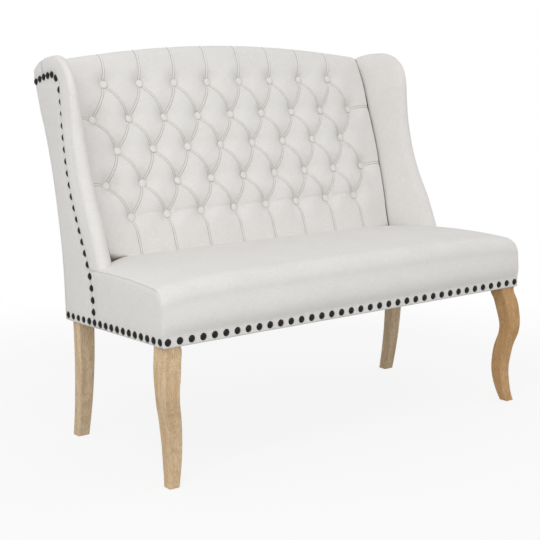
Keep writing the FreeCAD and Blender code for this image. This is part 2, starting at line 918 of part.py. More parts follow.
def wing_nails():
    """Nails up the outside of the wing, round its shoulder and back along its top."""
    points = [V(0, y, z) for y, z in nail_path()]
    rise = Part.Wire(arc_chain(points[:nail_path_turn + 1]))
    top = Part.Wire(arc_chain(points[nail_path_turn:]))
    solids = []
    for wire, count, ends in ((rise, wing_nail_count, nail_rise_span_shares),
                              (top, wing_top_nail_count, nail_top_span_shares)):
        for i in range(count):
            p = point_along(wire, between(*ends, i / (count - 1)))
            solids.append(nail(V(side_x(p.y), p.y, p.z), side_outward))
    return Part.makeCompound(solids)


# Legs

front_leg_height_shares = [0, 0.093, 0.176, 0.248, 0.337, 0.415, 0.493, 0.6, 0.71, 0.797, 0.887, 0.964, 1.04]
front_leg_swing_shares = [0, 0.2, 0.62, 0.86, 1, 0.75, 0.18, -0.28, -0.51, -0.40, -0.10, 0.32, 0.72]
front_leg_width_shares = [1, 1.043, 1.032, 0.989, 0.925, 0.903, 0.882, 0.849, 0.796, 0.753, 0.688, 0.624, 0.56]
rear_leg_height_shares = [0, 0.25, 0.5, 0.75, 0.92, 1.04]


def rounded_rectangle(cx, cy, z, width, depth, radius):
    """A level rectangle with round corners."""
    w, d, r = width / 2, depth / 2, radius
    k = r * (1 - math.sqrt(0.5))
    corners = [(1, -1), (1, 1), (-1, 1), (-1, -1)]
    edges = []
    points = []
    for i, (sx, sy) in enumerate(corners):
        a = V(cx + sx * (w - r), cy + sy * d, z)
        b = V(cx + sx * w, cy + sy * (d - r), z)
        mid = V(cx + sx * (w - k), cy + sy * (d - k), z)
        points.append((a, mid, b) if i % 2 == 0 else (b, mid, a))
    for i, (a, mid, b) in enumerate(points):
        edges += [arc(a, mid, b), line(b, points[(i + 1) % 4][0])]
    return Part.Wire(edges)


def front_leg():
    cx = side_x(leg_inset) - leg_inset - leg_top_width / 2
    cy = leg_inset + leg_top_width / 2
    wires = []
    for height, swing, width in zip(front_leg_height_shares, front_leg_swing_shares, front_leg_width_shares):
        out = leg_swing * swing
        side = leg_top_width * width
        wires.append(rounded_rectangle(cx + out, cy - out, -front_leg_height * height, side, side, leg_edge_round))
    return finish_leg(Part.makeLoft(wires, True, False), True)


def rear_leg():
    y0 = seat_box_depth - rear_leg_back_margin - rear_leg_top_depth / 2
    cx = side_x(y0) - rear_leg_inset - leg_top_width / 2
    wires = []
    for share in rear_leg_height_shares:
        back = rear_leg_sweep * share ** 2
        depth = between(rear_leg_top_depth, rear_leg_foot_depth, share)
        width = between(leg_top_width, rear_leg_foot_width, share ** 1.5)
        wires.append(rounded_rectangle(cx, y0 + back, -rear_leg_height * share, width, depth, leg_edge_round))
    return finish_leg(Part.makeLoft(wires, True, False), False)


def finish_leg(blank, at_front):
    """Bore the blank for its bolt, stand it on the raked underside and cut its foot level."""
    hole = cylinder(leg_bolt_diameter / 2, leg_bolt_down, leg_centre(at_front) - V(0, 0, leg_bolt_down))
    leg = raked(blank.cut(hole)).cut(box(-far, far, -far, far, -far, glide_thickness))
    place = foot_centre(leg)
    pin_hole = cylinder(glide_pin_diameter / 2, glide_pin_length, place)
    return leg.cut(pin_hole)


def foot_centre(leg):
    """The middle of the leg's flat foot."""
    low = min(leg.Faces, key=lambda f: f.CenterOfMass.z)
    middle = low.CenterOfMass
    return V(middle.x, middle.y, glide_thickness)


def leg_bolt(at_front):
    base = leg_centre(at_front) - V(0, 0, leg_bolt_down)
    return raked(cylinder(leg_bolt_diameter / 2, leg_bolt_down + leg_bolt_up, base))


def leg_nut(at_front):
    middle = leg_centre(at_front)
    top = dust_cloth + block_height
    bore = leg_bolt_diameter / 2 + thread_gap
    washer = cylinder(washer_diameter / 2, washer_thickness, middle + V(0, 0, top))
    corners = []
    for i in range(7):
        turn = math.pi / 3 * i
        radius = nut_width / math.sqrt(3)
        corners.append(middle + V(radius * math.cos(turn), radius * math.sin(turn), top + washer_thickness))
    nut = Part.Face(Part.makePolygon(corners)).extrude(V(0, 0, nut_height))
    hole = cylinder(bore, overrun, middle + V(0, 0, top - overrun / 4))
    return [raked(washer.cut(hole)), raked(nut.cut(hole))]


def glide(leg):
    middle = foot_centre(leg)
    disc = cylinder(glide_diameter / 2, glide_thickness, V(middle.x, middle.y, 0))
    pin = cylinder(glide_pin_diameter / 2, glide_pin_length, V(middle.x, middle.y, glide_thickness))
    return disc.fuse(pin).removeSplitter()


def both(solids):
    solids = list(solids)
    return Part.makeCompound(solids + [mirrored(solid) for solid in solids])


# Build

save("front_seat_rail", end_rail(cloth + fit_gap))
save("rear_seat_rail", end_rail(rail_rear + fit_gap))
save("seat_centre_rail", centre_rail())
save_pair("seat_side_rail", side_rail())
save("corner_blocks", both([corner_block(True), corner_block(False)]))
save("block_screws", both(block_screws()))
save_pair("side_board", side_board())
save("board_screws", both(board_screws()))
save("back_top_rail", back_rail(top_rail_low, back_rail_top))
save("back_lower_rail", back_rail(seat_side_height, lower_rail_top))
save_pair("back_upright", upright(upright_spacing / 2))
save("button_board", button_board())
save("seat_webbing", webbing())
save("seat_cross_webbing", cross_webbing())
save("seat_foam", seat_foam())
save("seat_cover", seat_cover())
save_pair("seat_side_panel", seat_side_panel())
save("dust_cover", dust_cover())
save_pair("wing_cover", wing_cover())
save_pair("wing_foam", wing_foam())
save_pair("outside_wing_panel", outside_panel())
save("outside_back_panel", outside_back())
save("back_foam", back_foam())
save("back_cover", back_cover())
save("tuft_buttons", buttons())
save("front_nails", front_nails())
save_pair("seat_side_nails", side_nails())
save_pair("wing_nails", wing_nails())
right_front_leg = front_leg()
right_rear_leg = rear_leg()
save_pair("front_leg", right_front_leg)
save_pair("rear_leg", right_rear_leg)
save("leg_bolts", both([leg_bolt(True), leg_bolt(False)]))
save("leg_nuts", both(leg_nut(True) + leg_nut(False)))
save("floor_glides", both([glide(right_front_leg), glide(right_rear_leg)]))


# The origin goes to the middle of the overall depth

front_end = right_front_leg.optimalBoundingBox().YMin
rear_end = nodes["outside_back_panel"].optimalBoundingBox().YMax
for name, shape in nodes.items():
    shape.translate(V(0, -(front_end + rear_end) / 2, 0))
    shape.exportStep("parts/" + name + ".step")
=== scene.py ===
import math
import bpy
import numpy as np
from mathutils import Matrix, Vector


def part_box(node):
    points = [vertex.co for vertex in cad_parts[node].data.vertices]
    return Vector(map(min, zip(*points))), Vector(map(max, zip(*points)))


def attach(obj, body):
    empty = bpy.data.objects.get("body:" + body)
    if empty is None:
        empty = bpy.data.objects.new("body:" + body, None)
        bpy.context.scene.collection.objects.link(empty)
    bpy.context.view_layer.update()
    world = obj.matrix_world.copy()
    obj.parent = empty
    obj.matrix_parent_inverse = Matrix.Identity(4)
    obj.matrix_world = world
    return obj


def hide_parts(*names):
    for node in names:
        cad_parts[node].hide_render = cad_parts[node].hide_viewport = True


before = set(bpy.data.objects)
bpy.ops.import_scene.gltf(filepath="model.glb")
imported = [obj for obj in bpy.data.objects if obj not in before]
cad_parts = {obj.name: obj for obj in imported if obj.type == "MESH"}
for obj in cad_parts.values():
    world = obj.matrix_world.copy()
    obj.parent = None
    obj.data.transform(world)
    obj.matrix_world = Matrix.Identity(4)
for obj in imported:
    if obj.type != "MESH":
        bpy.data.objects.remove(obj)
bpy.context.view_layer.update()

# The photographer's set: a pale sweep under the settee, one broad soft lamp from the upper left, weak
# ones from the low left and the front, a small one at the right, and a camera at standing height.

camera_place = (-2.0685, -2.5913, 1.0141)
camera_tilt = math.radians(79.55)
camera_turn = math.radians(-38.02)
camera_lens = 81.7
sensor_width = 36
set_size = 30
sky_strength = 0.7
lamps = (("key_lamp", (-2.3, -1.7, 3.1), 35, 2.2),
         ("low_lamp", (-2.9, -2.0, 1.2), 14, 2.2),
         ("front_lamp", (-0.4, -3.4, 2.3), 12, 2.2),
         ("glint_lamp", (3.0, -0.9, 2.4), 8, 0.4))
lamp_aim = (0, 0, 0.55)
floor_fade_start = 0.9
floor_fade_end = 1.9
floor_lift = 0.86
floor_mottling = 3


def feed(tree, node, inputs):
    """Feed a shader node's inputs with values or with other nodes' outputs."""
    for key, value in inputs.items():
        if isinstance(value, bpy.types.NodeSocket):
            tree.links.new(value, node.inputs[key])
        else:
            node.inputs[key].default_value = value


def add(tree, kind, inputs=None, **settings):
    """Add one shader node with its settings and its inputs."""
    node = tree.nodes.new(kind)
    for key, value in settings.items():
        setattr(node, key, value)
    feed(tree, node, inputs or {})
    return node


def tint(red, green, blue):
    """A colour as it is seen on a screen, from 0 to 255, as the linear colour that a shader takes."""
    linear = [((c / 255 + 0.055) / 1.055) ** 2.4 for c in (red, green, blue)]
    return (*linear, 1)


def scaled(tree, source, low, high, to_low=0.0, to_high=1.0, eased=False):
    """Map a value from one range onto another, held at both ends."""
    kind = "SMOOTHSTEP" if eased else "LINEAR"
    node = add(tree, "ShaderNodeMapRange", {0: source, 1: low, 2: high, 3: to_low, 4: to_high},
               interpolation_type=kind)
    return node.outputs[0]


def combined(tree, operation, first, second):
    """One sum, difference, product or larger of two values."""
    return add(tree, "ShaderNodeMath", {0: first, 1: second}, operation=operation).outputs[0]


def between_tints(tree, share, first, second):
    """A colour that lies a share of the way from one colour to another."""
    return add(tree, "ShaderNodeMix", {0: share, 6: first, 7: second}, data_type="RGBA").outputs[2]


def clouding(tree, place, scale, detail=2, distortion=0):
    """Soft random patches, from 0 to 1."""
    inputs = {"Vector": place, "Scale": scale, "Detail": detail, "Distortion": distortion}
    return add(tree, "ShaderNodeTexNoise", inputs).outputs[0]


def link_object(name, data):
    """A new object in the scene, made of some data."""
    thing = bpy.data.objects.new(name, data)
    bpy.context.scene.collection.objects.link(thing)
    return thing


def soft_lamp(name, place, watts, side):
    """A square lamp that faces the middle of the settee."""
    data = bpy.data.lights.new(name, "AREA")
    data.shape = "SQUARE"
    data.size = side
    data.energy = watts
    lamp = link_object(name, data)
    lamp.location = place
    away = lamp.location - Vector(lamp_aim)
    lamp.rotation_euler = away.to_track_quat("Z", "Y").to_euler()


def seen_directly(tree):
    """One for what the camera sees straight, or in a gloss, or through glass."""
    path = add(tree, "ShaderNodeLightPath")
    seen = combined(tree, "MAXIMUM", path.outputs["Is Camera Ray"], path.outputs["Is Glossy Ray"])
    return combined(tree, "MAXIMUM", seen, path.outputs["Is Transmission Ray"])


camera = link_object("camera", bpy.data.cameras.new("camera"))
camera.location = camera_place
camera.rotation_euler = (camera_tilt, 0, camera_turn)
camera.data.lens = camera_lens
camera.data.sensor_width = sensor_width
bpy.context.scene.camera = camera
bpy.context.scene.view_settings.view_transform = "Standard"
for name, place, watts, side in lamps:
    soft_lamp(name, place, watts, side)

sky = bpy.data.worlds.new("white_room")
bpy.context.scene.world = sky
sky.use_nodes = True
sky_tree = sky.node_tree
sky_tree.nodes.clear()
sky_level = scaled(sky_tree, seen_directly(sky_tree), 0, 1, sky_strength, 1)
sky_light = add(sky_tree, "ShaderNodeBackground", {"Color": (1, 1, 1, 1), "Strength": sky_level})
add(sky_tree, "ShaderNodeOutputWorld", {"Surface": sky_light.outputs[0]})

bpy.ops.mesh.primitive_plane_add(size=set_size)
floor = bpy.context.object
floor.name = "floor"
floor_paint = bpy.data.materials.new("white_floor")
floor_paint.use_nodes = True
floor_tree = floor_paint.node_tree
floor_tree.nodes.clear()
floor_where = add(floor_tree, "ShaderNodeTexCoord")
floor_away = add(floor_tree, "ShaderNodeVectorMath", {0: floor_where.outputs["Object"]}, operation="LENGTH")
floor_blend = scaled(floor_tree, floor_away.outputs["Value"], floor_fade_start, floor_fade_end,
                     floor_lift, 1, eased=True)
floor_seen = combined(floor_tree, "MULTIPLY", floor_blend, seen_directly(floor_tree))
floor_mottle = clouding(floor_tree, floor_where.outputs["Object"], floor_mottling)
floor_tone = between_tints(floor_tree, floor_mottle, tint(212, 212, 211), tint(217, 217, 217))
floor_matt = add(floor_tree, "ShaderNodeBsdfDiffuse", {"Color": floor_tone})
floor_glow = add(floor_tree, "ShaderNodeEmission", {"Color": (1, 1, 1, 1), "Strength": 1})
floor_mix = add(floor_tree, "ShaderNodeMixShader",
                {0: floor_seen, 1: floor_matt.outputs[0], 2: floor_glow.outputs[0]})
add(floor_tree, "ShaderNodeOutputMaterial", {"Surface": floor_mix.outputs[0]})
floor.data.materials.append(floor_paint)


# The seat frame and the back frame: sawn pine rails and corner blocks, thin plywood side boards and
# button board, screwed together. None of it shows once the settee is covered.

grain_run = 14
grain_fine = 220
grain_across = (grain_run, grain_fine, grain_fine)
grain_deep = (grain_fine, grain_run, grain_fine)
grain_up = (grain_fine, grain_fine, grain_run)
ply_grain = (grain_fine / 4, grain_run, grain_run)


def finish_of(name):
    """A new material, its node tree and its main shader."""
    made = bpy.data.materials.new(name)
    made.use_nodes = True
    return made, made.node_tree, made.node_tree.nodes["Principled BSDF"]


def stretched(tree, place, scale):
    """A place stretched along each axis, to give a finish its grain."""
    return add(tree, "ShaderNodeMapping", {"Vector": place, "Scale": scale}).outputs[0]


def object_place(tree, scale=(1, 1, 1)):
    """The place in the settee, stretched."""
    return stretched(tree, add(tree, "ShaderNodeTexCoord").outputs["Object"], scale)


def roughened(tree, shader, height, strength, distance):
    """Let a pattern of heights catch the light."""
    bump = add(tree, "ShaderNodeBump", {"Height": height, "Strength": strength, "Distance": distance})
    feed(tree, shader, {"Normal": bump.outputs[0]})


def sawn_wood(name, light, dark, stretch):
    """Plain sawn timber with its grain along the axis that is stretched least."""
    made, tree, shader = finish_of(name)
    place = object_place(tree, stretch)
    wide = clouding(tree, place, 1, detail=4, distortion=0.6)
    fine = clouding(tree, place, 6)
    share = combined(tree, "MULTIPLY", scaled(tree, wide, 0.35, 0.65), fine)
    feed(tree, shader, {"Base Color": between_tints(tree, share, light, dark), "Roughness": 0.75})
    roughened(tree, shader, fine, 0.3, 0.0005)
    return made


def plain_finish(name, tints, scale, rough, bump=None, detail=3, stretch=(1, 1, 1), more=None):
    """A finish that clouds softly between two tints, and between two roughnesses where it has them."""
    made, tree, shader = finish_of(name)
    cloud = clouding(tree, object_place(tree, stretch), scale, detail)
    level = scaled(tree, cloud, 0.3, 0.7, *rough) if isinstance(rough, tuple) else rough
    feed(tree, shader, {"Base Color": between_tints(tree, cloud, *tints), "Roughness": level, **(more or {})})
    if bump:
        roughened(tree, shader, cloud, *bump)
    return made


def paint_node(name, finish):
    """Give a piece of the frame its finish."""
    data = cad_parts[name].data
    data.materials.clear()
    data.materials.append(finish)


pine_across = sawn_wood("pine_across", tint(222, 190, 140), tint(184, 142, 92), grain_across)
pine_deep = sawn_wood("pine_deep", tint(220, 188, 138), tint(186, 146, 96), grain_deep)
pine_up = sawn_wood("pine_up", tint(221, 190, 142), tint(182, 142, 94), grain_up)
ply = sawn_wood("ply", tint(214, 184, 142), tint(188, 152, 108), ply_grain)
for name in ("front_seat_rail", "rear_seat_rail", "back_top_rail", "back_lower_rail", "corner_blocks"):
    paint_node(name, pine_across)
for name in ("seat_centre_rail", "right_seat_side_rail", "left_seat_side_rail"):
    paint_node(name, pine_deep)
for name in ("right_back_upright", "left_back_upright"):
    paint_node(name, pine_up)
for name in ("right_side_board", "left_side_board", "button_board"):
    paint_node(name, ply)


# The fastenings: zinc-plated countersunk screws in the frame, and a bolt with a nut and a washer
# that holds each leg to its corner block.

zinc = plain_finish("zinc_plate", (tint(176, 178, 180), tint(206, 206, 202)), 160, (0.28, 0.45),
                    more={"Metallic": 1})
for name in ("block_screws", "board_screws", "leg_bolts", "leg_nuts"):
    paint_node(name, zinc)


# The seat webbing: woven elastic straps, nine from front to rear and three across, stapled to the
# top of the rails under the seat foam.

strap, strap_tree, strap_shader = finish_of("webbing")
strap_place = object_place(strap_tree)
strap_weft = add(strap_tree, "ShaderNodeTexWave", {"Vector": strap_place, "Scale": 180, "Distortion": 1.5},
                 bands_direction="Y")
strap_warp = add(strap_tree, "ShaderNodeTexWave", {"Vector": strap_place, "Scale": 90, "Distortion": 1},
                 bands_direction="X")
strap_weave = combined(strap_tree, "MULTIPLY", strap_weft.outputs[1], strap_warp.outputs[1])
strap_colour = between_tints(strap_tree, strap_weave, tint(168, 156, 134), tint(206, 196, 176))
feed(strap_tree, strap_shader, {"Base Color": strap_colour, "Roughness": 0.9})
roughened(strap_tree, strap_shader, strap_weave, 0.5, 0.0006)
for name in ("seat_webbing", "seat_cross_webbing"):
    paint_node(name, strap)


# The legs: solid pale hardwood, sanded and wire-brushed, with a thin whitish wax. The front pair is
# sawn to an S curve from square stock, and the rear pair is plain and sweeps back. Eased edges.

leg_streak = (80, 80, 2.4)
leg_ring = (110, 60, 2.4)
leg_pore = (950, 950, 42)
leg_ring_strength = 0.16
leg_pore_strength = 0.85
leg_bend = (0.035, 0.035, 0.02)
leg_light = (216, 192, 158)
leg_middle = (196, 166, 126)
leg_dark = (152, 118, 82)
leg_tones = (("right_front_leg", (0.31, 0.12, 0.07), 0.95, 14),
             ("left_front_leg", (0.72, 0.4, 0.53), 1.02, -1),
             ("right_rear_leg", (0.18, 0.83, 0.29), 1.01, -4),
             ("left_rear_leg", (0.57, 0.22, 0.91), 1.03, -4))


def leg_tint(tone, shade, warmth):
    """A tone of one leg's wood, lighter or darker than the others and more or less orange."""
    red, green, blue = tone
    return tint(red * shade, (green - warmth) * shade, (blue - 2 * warmth) * shade)


def leg_wood(name, offset, light, middle, dark):
    """Brushed hardwood: pale and darker streaks, broad year rings, and short dark pores along the grain."""
    made, tree, shader = finish_of(name)
    where = add(tree, "ShaderNodeTexCoord")
    moved = add(tree, "ShaderNodeVectorMath", {0: where.outputs["Object"], 1: offset}, operation="ADD")
    warp = add(tree, "ShaderNodeTexNoise", {"Vector": moved.outputs[0], "Scale": 9, "Detail": 2})
    bent = add(tree, "ShaderNodeVectorMath", {0: warp.outputs["Color"], 1: leg_bend}, operation="MULTIPLY")
    place = add(tree, "ShaderNodeVectorMath", {0: moved.outputs[0], 1: bent.outputs[0]}, operation="ADD")
    streak = clouding(tree, stretched(tree, place.outputs[0], leg_streak), 1, detail=5)
    ringed = stretched(tree, place.outputs[0], leg_ring)
    rings = add(tree, "ShaderNodeTexWave", {"Vector": ringed, "Scale": 1, "Distortion": 2, "Detail": 2,
                                            "Detail Scale": 1.4}, wave_type="RINGS")
    pores = clouding(tree, stretched(tree, place.outputs[0], leg_pore), 1)
    share = scaled(tree, streak, 0.3, 0.7)
    ring = combined(tree, "MULTIPLY", scaled(tree, rings.outputs[1], 0.5, 1), leg_ring_strength)
    first = between_tints(tree, share, light, middle)
    second = between_tints(tree, ring, first, dark)
    pore = combined(tree, "MULTIPLY", scaled(tree, pores, 0.5, 0.7), leg_pore_strength)
    third = between_tints(tree, pore, second, dark)
    rough = scaled(tree, pores, 0.4, 0.7, 0.52, 0.7)
    feed(tree, shader, {"Base Color": third, "Roughness": rough, "Specular IOR Level": 0.35})
    depth = combined(tree, "SUBTRACT", combined(tree, "MULTIPLY", share, 0.3), pore)
    roughened(tree, shader, depth, 0.35, 0.0006)
    return made


for name, offset, shade, warmth in leg_tones:
    light, middle, dark = [leg_tint(tone, shade, warmth) for tone in (leg_light, leg_middle, leg_dark)]
    paint_node(name, leg_wood(name + "_wood", offset, light, middle, dark))


# The floor glides: a grey moulded disc with a pin, pushed into the foot of each leg.

nylon = plain_finish("glide_nylon", (tint(88, 86, 84), tint(106, 104, 100)), 900, 0.55, (0.2, 0.0002),
                     detail=2)
paint_node("floor_glides", nylon)


# The seat cushion: foam over the webbing, crowned across and rounded at the front, under one piece of
# cream linen that runs from the front edge over the top and down behind the back pad.

front_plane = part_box("front_nails")[1].y
half_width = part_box("right_seat_side_panel")[1].x
box_depth = 0.491
side_taper = 0.022
leg_height = 0.335
rear_leg_height = 0.314
seat_side_height = 0.468
seat_crown = 0.019
seat_bulge = 0.009
seat_end_bulge = 0.3
bulge_rise_power = 0.75
bulge_round_power = 1.4
crown_level_power = 6
crown_round_power = 0.62
seat_corner = 0.043
seat_end_depth = 0.432
seat_top_run = 0.366
seat_top_rise = 0.0233
seat_top_fall = 0.0333
seat_front_rows = 26
seat_corner_rows = 16
seat_top_rows = 46
seat_half_columns = 40
seat_top_spacing = 0.9
seat_half_spacing = 2.1
seat_turn_in = 0.02
nail_band = 0.027
seam_tuck = 0.0018
wing_roll_cover = 0.016
pocket_depth = 0.016
pocket_slope = 0.026
pocket_side_slope = 0.02
pocket_start = (0.531, 0.345)
pocket_heading = (0.66, 0.75)
pocket_front = 0.325
pocket_front_slope = 0.03
pocket_shade = 0.95
thread_pitch = 0.0011
wave_rate = 20
slub_runs = ((900, 60, 1), (60, 860, 1), (460, 52, 1), (50, 430, 1))
linen_pale = tint(233, 231, 229)
linen_deep = tint(215, 212, 208)
# A dark tint and a pale one, mixed into the linen by its crease value as painted shade and painted highlight.
linen_shadow = tint(104, 92, 77)
linen_highlight = tint(250, 249, 247)


def smooth(value):
    """Ease from 0 to 1, and stay there."""
    t = np.clip(value, 0, 1)
    return t * t * (3 - 2 * t)


def side_x(depth):
    """How far the settee's side is from its middle: it narrows to the rear."""
    return half_width - side_taper * depth / box_depth


def underside(depth):
    """The height of the seat box's lower edge: it falls to the rear, where the legs are shorter."""
    return leg_height - (leg_height - rear_leg_height) * depth / box_depth


def linen(name, pale, deep):
    """Plain-woven linen: two crossed sets of uneven threads, slubs along both, and a slight fuzz.

    Its place along the cloth is the mesh's own "cloth" value. The "crease" value is painted light:
    where it is above nought it darkens the cloth towards a dark tint, as painted shade in creases,
    gaps and hollows, and where it is below it lightens the cloth towards a pale tint, as a painted
    highlight on the pleats' ridges. A wave texture of scale 1 turns by wave_rate radians in a metre,
    so its scale is set to give one wave to a thread.
    """
    made, tree, shader = finish_of(name)
    place = add(tree, "ShaderNodeAttribute", attribute_name="cloth").outputs["Vector"]
    threads = []
    pitch_scale = 1 / thread_pitch / wave_rate * math.tau
    waves = {"Vector": place, "Scale": pitch_scale, "Distortion": 1.2, "Detail": 1, "Detail Scale": 2}
    for direction in ("X", "Y"):
        wave = add(tree, "ShaderNodeTexWave", waves, bands_direction=direction)
        threads.append(wave.outputs[1])
    weave = combined(tree, "ADD", threads[0], threads[1])
    slubs = []
    for stretch in slub_runs:
        slubs.append(clouding(tree, stretched(tree, place, stretch), 1, detail=3))
    slub = combined(tree, "ADD", slubs[0], slubs[1])
    thick = combined(tree, "ADD", slubs[2], slubs[3])
    cloud = clouding(tree, place, 9, detail=3)
    first = combined(tree, "ADD", scaled(tree, slub, 0.72, 1.28, 0, 0.3), scaled(tree, weave, 0, 2, 0, 0.1))
    second = combined(tree, "ADD", first, scaled(tree, thick, 0.7, 1.3, 0, 0.46))
    share = combined(tree, "ADD", second, scaled(tree, cloud, 0.3, 0.7, -0.1, 0.1))
    # Painted light: the crease value mixes in the dark tint as painted shade, and, where below nought, the
    # pale tint as a painted highlight.
    crease = add(tree, "ShaderNodeAttribute", attribute_name="crease").outputs["Fac"]
    cloth = between_tints(tree, share, pale, deep)
    gleam = combined(tree, "MULTIPLY", crease, -1)
    cloth_with_painted_light = between_tints(tree, gleam, between_tints(tree, crease, cloth, linen_shadow), linen_highlight)
    feed(tree, shader, {"Base Color": cloth_with_painted_light, "Roughness": 0.92, "Specular IOR Level": 0.18,
                        "Sheen Weight": 0.12, "Sheen Roughness": 0.5})
    height = combined(tree, "ADD", weave, combined(tree, "MULTIPLY", slub, 1.6))
    roughened(tree, shader, height, 0.35, 0.0004)
    return made


def cloth_run(points):
    """How far each point of a grid lies along the cloth, both ways, in metres."""
    across = np.linalg.norm(np.diff(points, axis=1), axis=2)
    lengthwise = np.linalg.norm(np.diff(points, axis=0), axis=2)
    u = np.concatenate([np.zeros((points.shape[0], 1)), np.cumsum(across, axis=1)], axis=1)
    v = np.concatenate([np.zeros((1, points.shape[1])), np.cumsum(lengthwise, axis=0)], axis=0)
    middle = points.shape[1] // 2
    return np.stack([u - u[:, middle:middle + 1], np.broadcast_to(v.mean(1, keepdims=True), u.shape)], axis=2)


def grid_piece(name, points, finish, caps=False, ring=False, crease=None, closed=None):
    """A mesh from rows of points: ring joins the last row to the first, caps closes both ends of each row,
    and closed names a row that a face is put across."""
    rows, columns = points.shape[:2]
    run = cloth_run(points)
    index = np.arange(rows * columns).reshape(rows, columns)
    lower = index if ring else index[:-1]
    upper = np.roll(index, -1, axis=0) if ring else index[1:]
    quads = np.stack([lower[:, :-1], lower[:, 1:], upper[:, 1:], upper[:, :-1]], axis=-1).reshape(-1, 4)
    faces = quads.tolist()
    if caps:
        faces.append(index[:, 0].tolist())
        faces.append(index[::-1, -1].tolist())
    if closed is not None:
        faces.append(index[closed].tolist())
    data = bpy.data.meshes.new(name)
    data.from_pydata(points.reshape(-1, 3).tolist(), [], faces)
    flat = np.zeros((rows * columns, 3))
    flat[:, :2] = run.reshape(-1, 2)
    data.attributes.new("cloth", "FLOAT_VECTOR", "POINT").data.foreach_set("vector", flat.ravel())
    # The crease value is painted shade and painted highlight for the linen's colour.
    if crease is not None:
        data.attributes.new("crease", "FLOAT", "POINT").data.foreach_set("value", crease.ravel())
    data.shade_smooth()
    data.materials.append(finish)
    data.update()
    return link_object(name, data)


def thickened(piece, thickness):
    """Give a sheet of cloth its thickness, on its inner side."""
    shell = piece.modifiers.new("cloth_thickness", "SOLIDIFY")
    shell.thickness = thickness
    shell.offset = -1
    return piece


def graded(count, power):
    """Shares from 0 to 1, close together near 0."""
    return (np.arange(count + 1) / count) ** power


def crown_share(inset):
    """How much of the crown has risen at a distance in from the seat's end."""
    share = np.clip(inset / half_width, 0, 1)
    return (1 - (1 - share) ** crown_level_power) ** crown_round_power


def seat_profile(crown, tuck=0.0):
    """Depth and height along the cushion, from the front's lower edge to behind the back pad."""
    top = seat_side_height + seat_crown * crown
    bulge = seat_bulge * (seat_end_bulge + (1 - seat_end_bulge) * crown)
    corner_start = top - seat_corner
    rise = np.linspace(0, 1, seat_front_rows)
    front_z = leg_height + (corner_start - leg_height) * rise
    above_nails = np.clip((front_z - leg_height - nail_band) / (corner_start - leg_height - nail_band), 0, 1)
    front_y = -bulge * np.sin(math.pi * above_nails ** bulge_rise_power) ** bulge_round_power
    turn = np.linspace(0, math.pi / 2, seat_corner_rows + 1)[1:]
    corner_y = seat_corner * (1 - np.cos(turn))
    corner_z = corner_start + seat_corner * np.sin(turn)
    run = graded(seat_top_rows, seat_top_spacing)[1:]
    top_y = seat_corner + (seat_end_depth - seat_corner) * run
    reach = (top_y - seat_corner) / seat_top_run
    top_z = top + seat_top_rise * reach - seat_top_fall * reach ** 2
    y = np.concatenate([front_y, corner_y, top_y])
    z = np.concatenate([front_z, corner_z, top_z])
    dy, dz = np.gradient(y), np.gradient(z)
    size = np.hypot(dy, dz)
    return y + tuck * dz / size, z - tuck * dy / size


def in_pocket(x, y):
    """How far into the hollow, between a wing's foot and the back pad, each point lies."""
    behind = pocket_heading[0] * (np.abs(x) - pocket_start[0]) + pocket_heading[1] * (y - pocket_start[1])
    beside = np.clip((side_x(y) - wing_roll_cover - np.abs(x)) / pocket_side_slope, 0, 1)
    return smooth(behind / pocket_slope) * beside * smooth((y - pocket_front) / pocket_front_slope)


def seat_points():
    """Points of the seat's cover from its lower front edge to the back, and how deep in shade they lie."""
    half = half_width * graded(seat_half_columns, seat_half_spacing)
    columns = []
    for side in (-1, 1):
        strip = [(side, seam_tuck, 0.0, 2 * seam_tuck), (side, 0.4 * seam_tuck, 0.0, 0.5 * seam_tuck)]
        strip += [(side, 0.0, inset, 0.0) for inset in half]
        columns += strip if side < 0 else strip[-2::-1]
    stack, shade = [], []
    for side, inward, inset, tuck in columns:
        y, z = seat_profile(crown_share(inset), tuck)
        x = side * (side_x(y) * (1 - inset / half_width) - inward)
        hollow = in_pocket(x, y)
        stack.append(np.stack([x, y + front_plane, z - pocket_depth * hollow], axis=1))
        # The hollow beside each wing's foot also gets painted shade in the cloth's colour.
        shade.append(pocket_shade * hollow)
    return np.stack(stack, axis=1), np.pad(np.stack(shade, axis=1), ((1, 1), (0, 0)))


def closed_below(points, drop):
    """Turn a grid's open profile into a ring by a row tucked in under each end."""
    first, last = points[0].copy(), points[-1].copy()
    first[:, 1] += drop
    last[:, 2] = underside(last[:, 1] - front_plane) + drop / 4
    return np.concatenate([first[None], points, last[None]], axis=0)


cream_linen = linen("cream_linen", linen_pale, linen_deep)
seat_top, seat_shade = seat_points()
seat_grid = closed_below(seat_top, seat_turn_in)
seat_cushion = grid_piece("seat_cushion", seat_grid, cream_linen, caps=True, ring=True, crease=seat_shade)
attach(seat_cushion, "root")
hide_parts("seat_cover", "seat_foam")


# The boxed ends of the seat: a flat piece of the same linen over the side rail, sewn to the cushion's
# cover along a curved seam and turned under below the nails.

panel_rows = 70
panel_columns = 14
panel_spacing = 1.4
panel_puff = 0.002
puff_start = 0.012
puff_reach = 0.03
panel_tuck = 0.0015
panel_lap = 0.0006
panel_foot_gap = 0.0004
band_depth = 0.0008
band_height = 0.02
band_ease = 0.008
cloth_thickness = 0.0026
nail_foot_depth = 0.3394
nail_lean = 0.05
nail_lean_height = 0.39
nail_side_band = 0.012
foot_seam_height = 0.464
foot_seam_depth = 0.357


def both_sides(build):
    """Make a right-hand piece and its left-hand twin."""
    build("right", 1)
    build("left", -1)


def along(points, shares):
    """Points at shares of a polyline's length."""
    points = np.asarray(points, float)
    steps = np.concatenate([[0], np.cumsum(np.linalg.norm(np.diff(points, axis=0), axis=1))])
    wanted = np.asarray(shares) * steps[-1]
    return np.stack([np.interp(wanted, steps, points[:, k]) for k in range(points.shape[1])], axis=1)


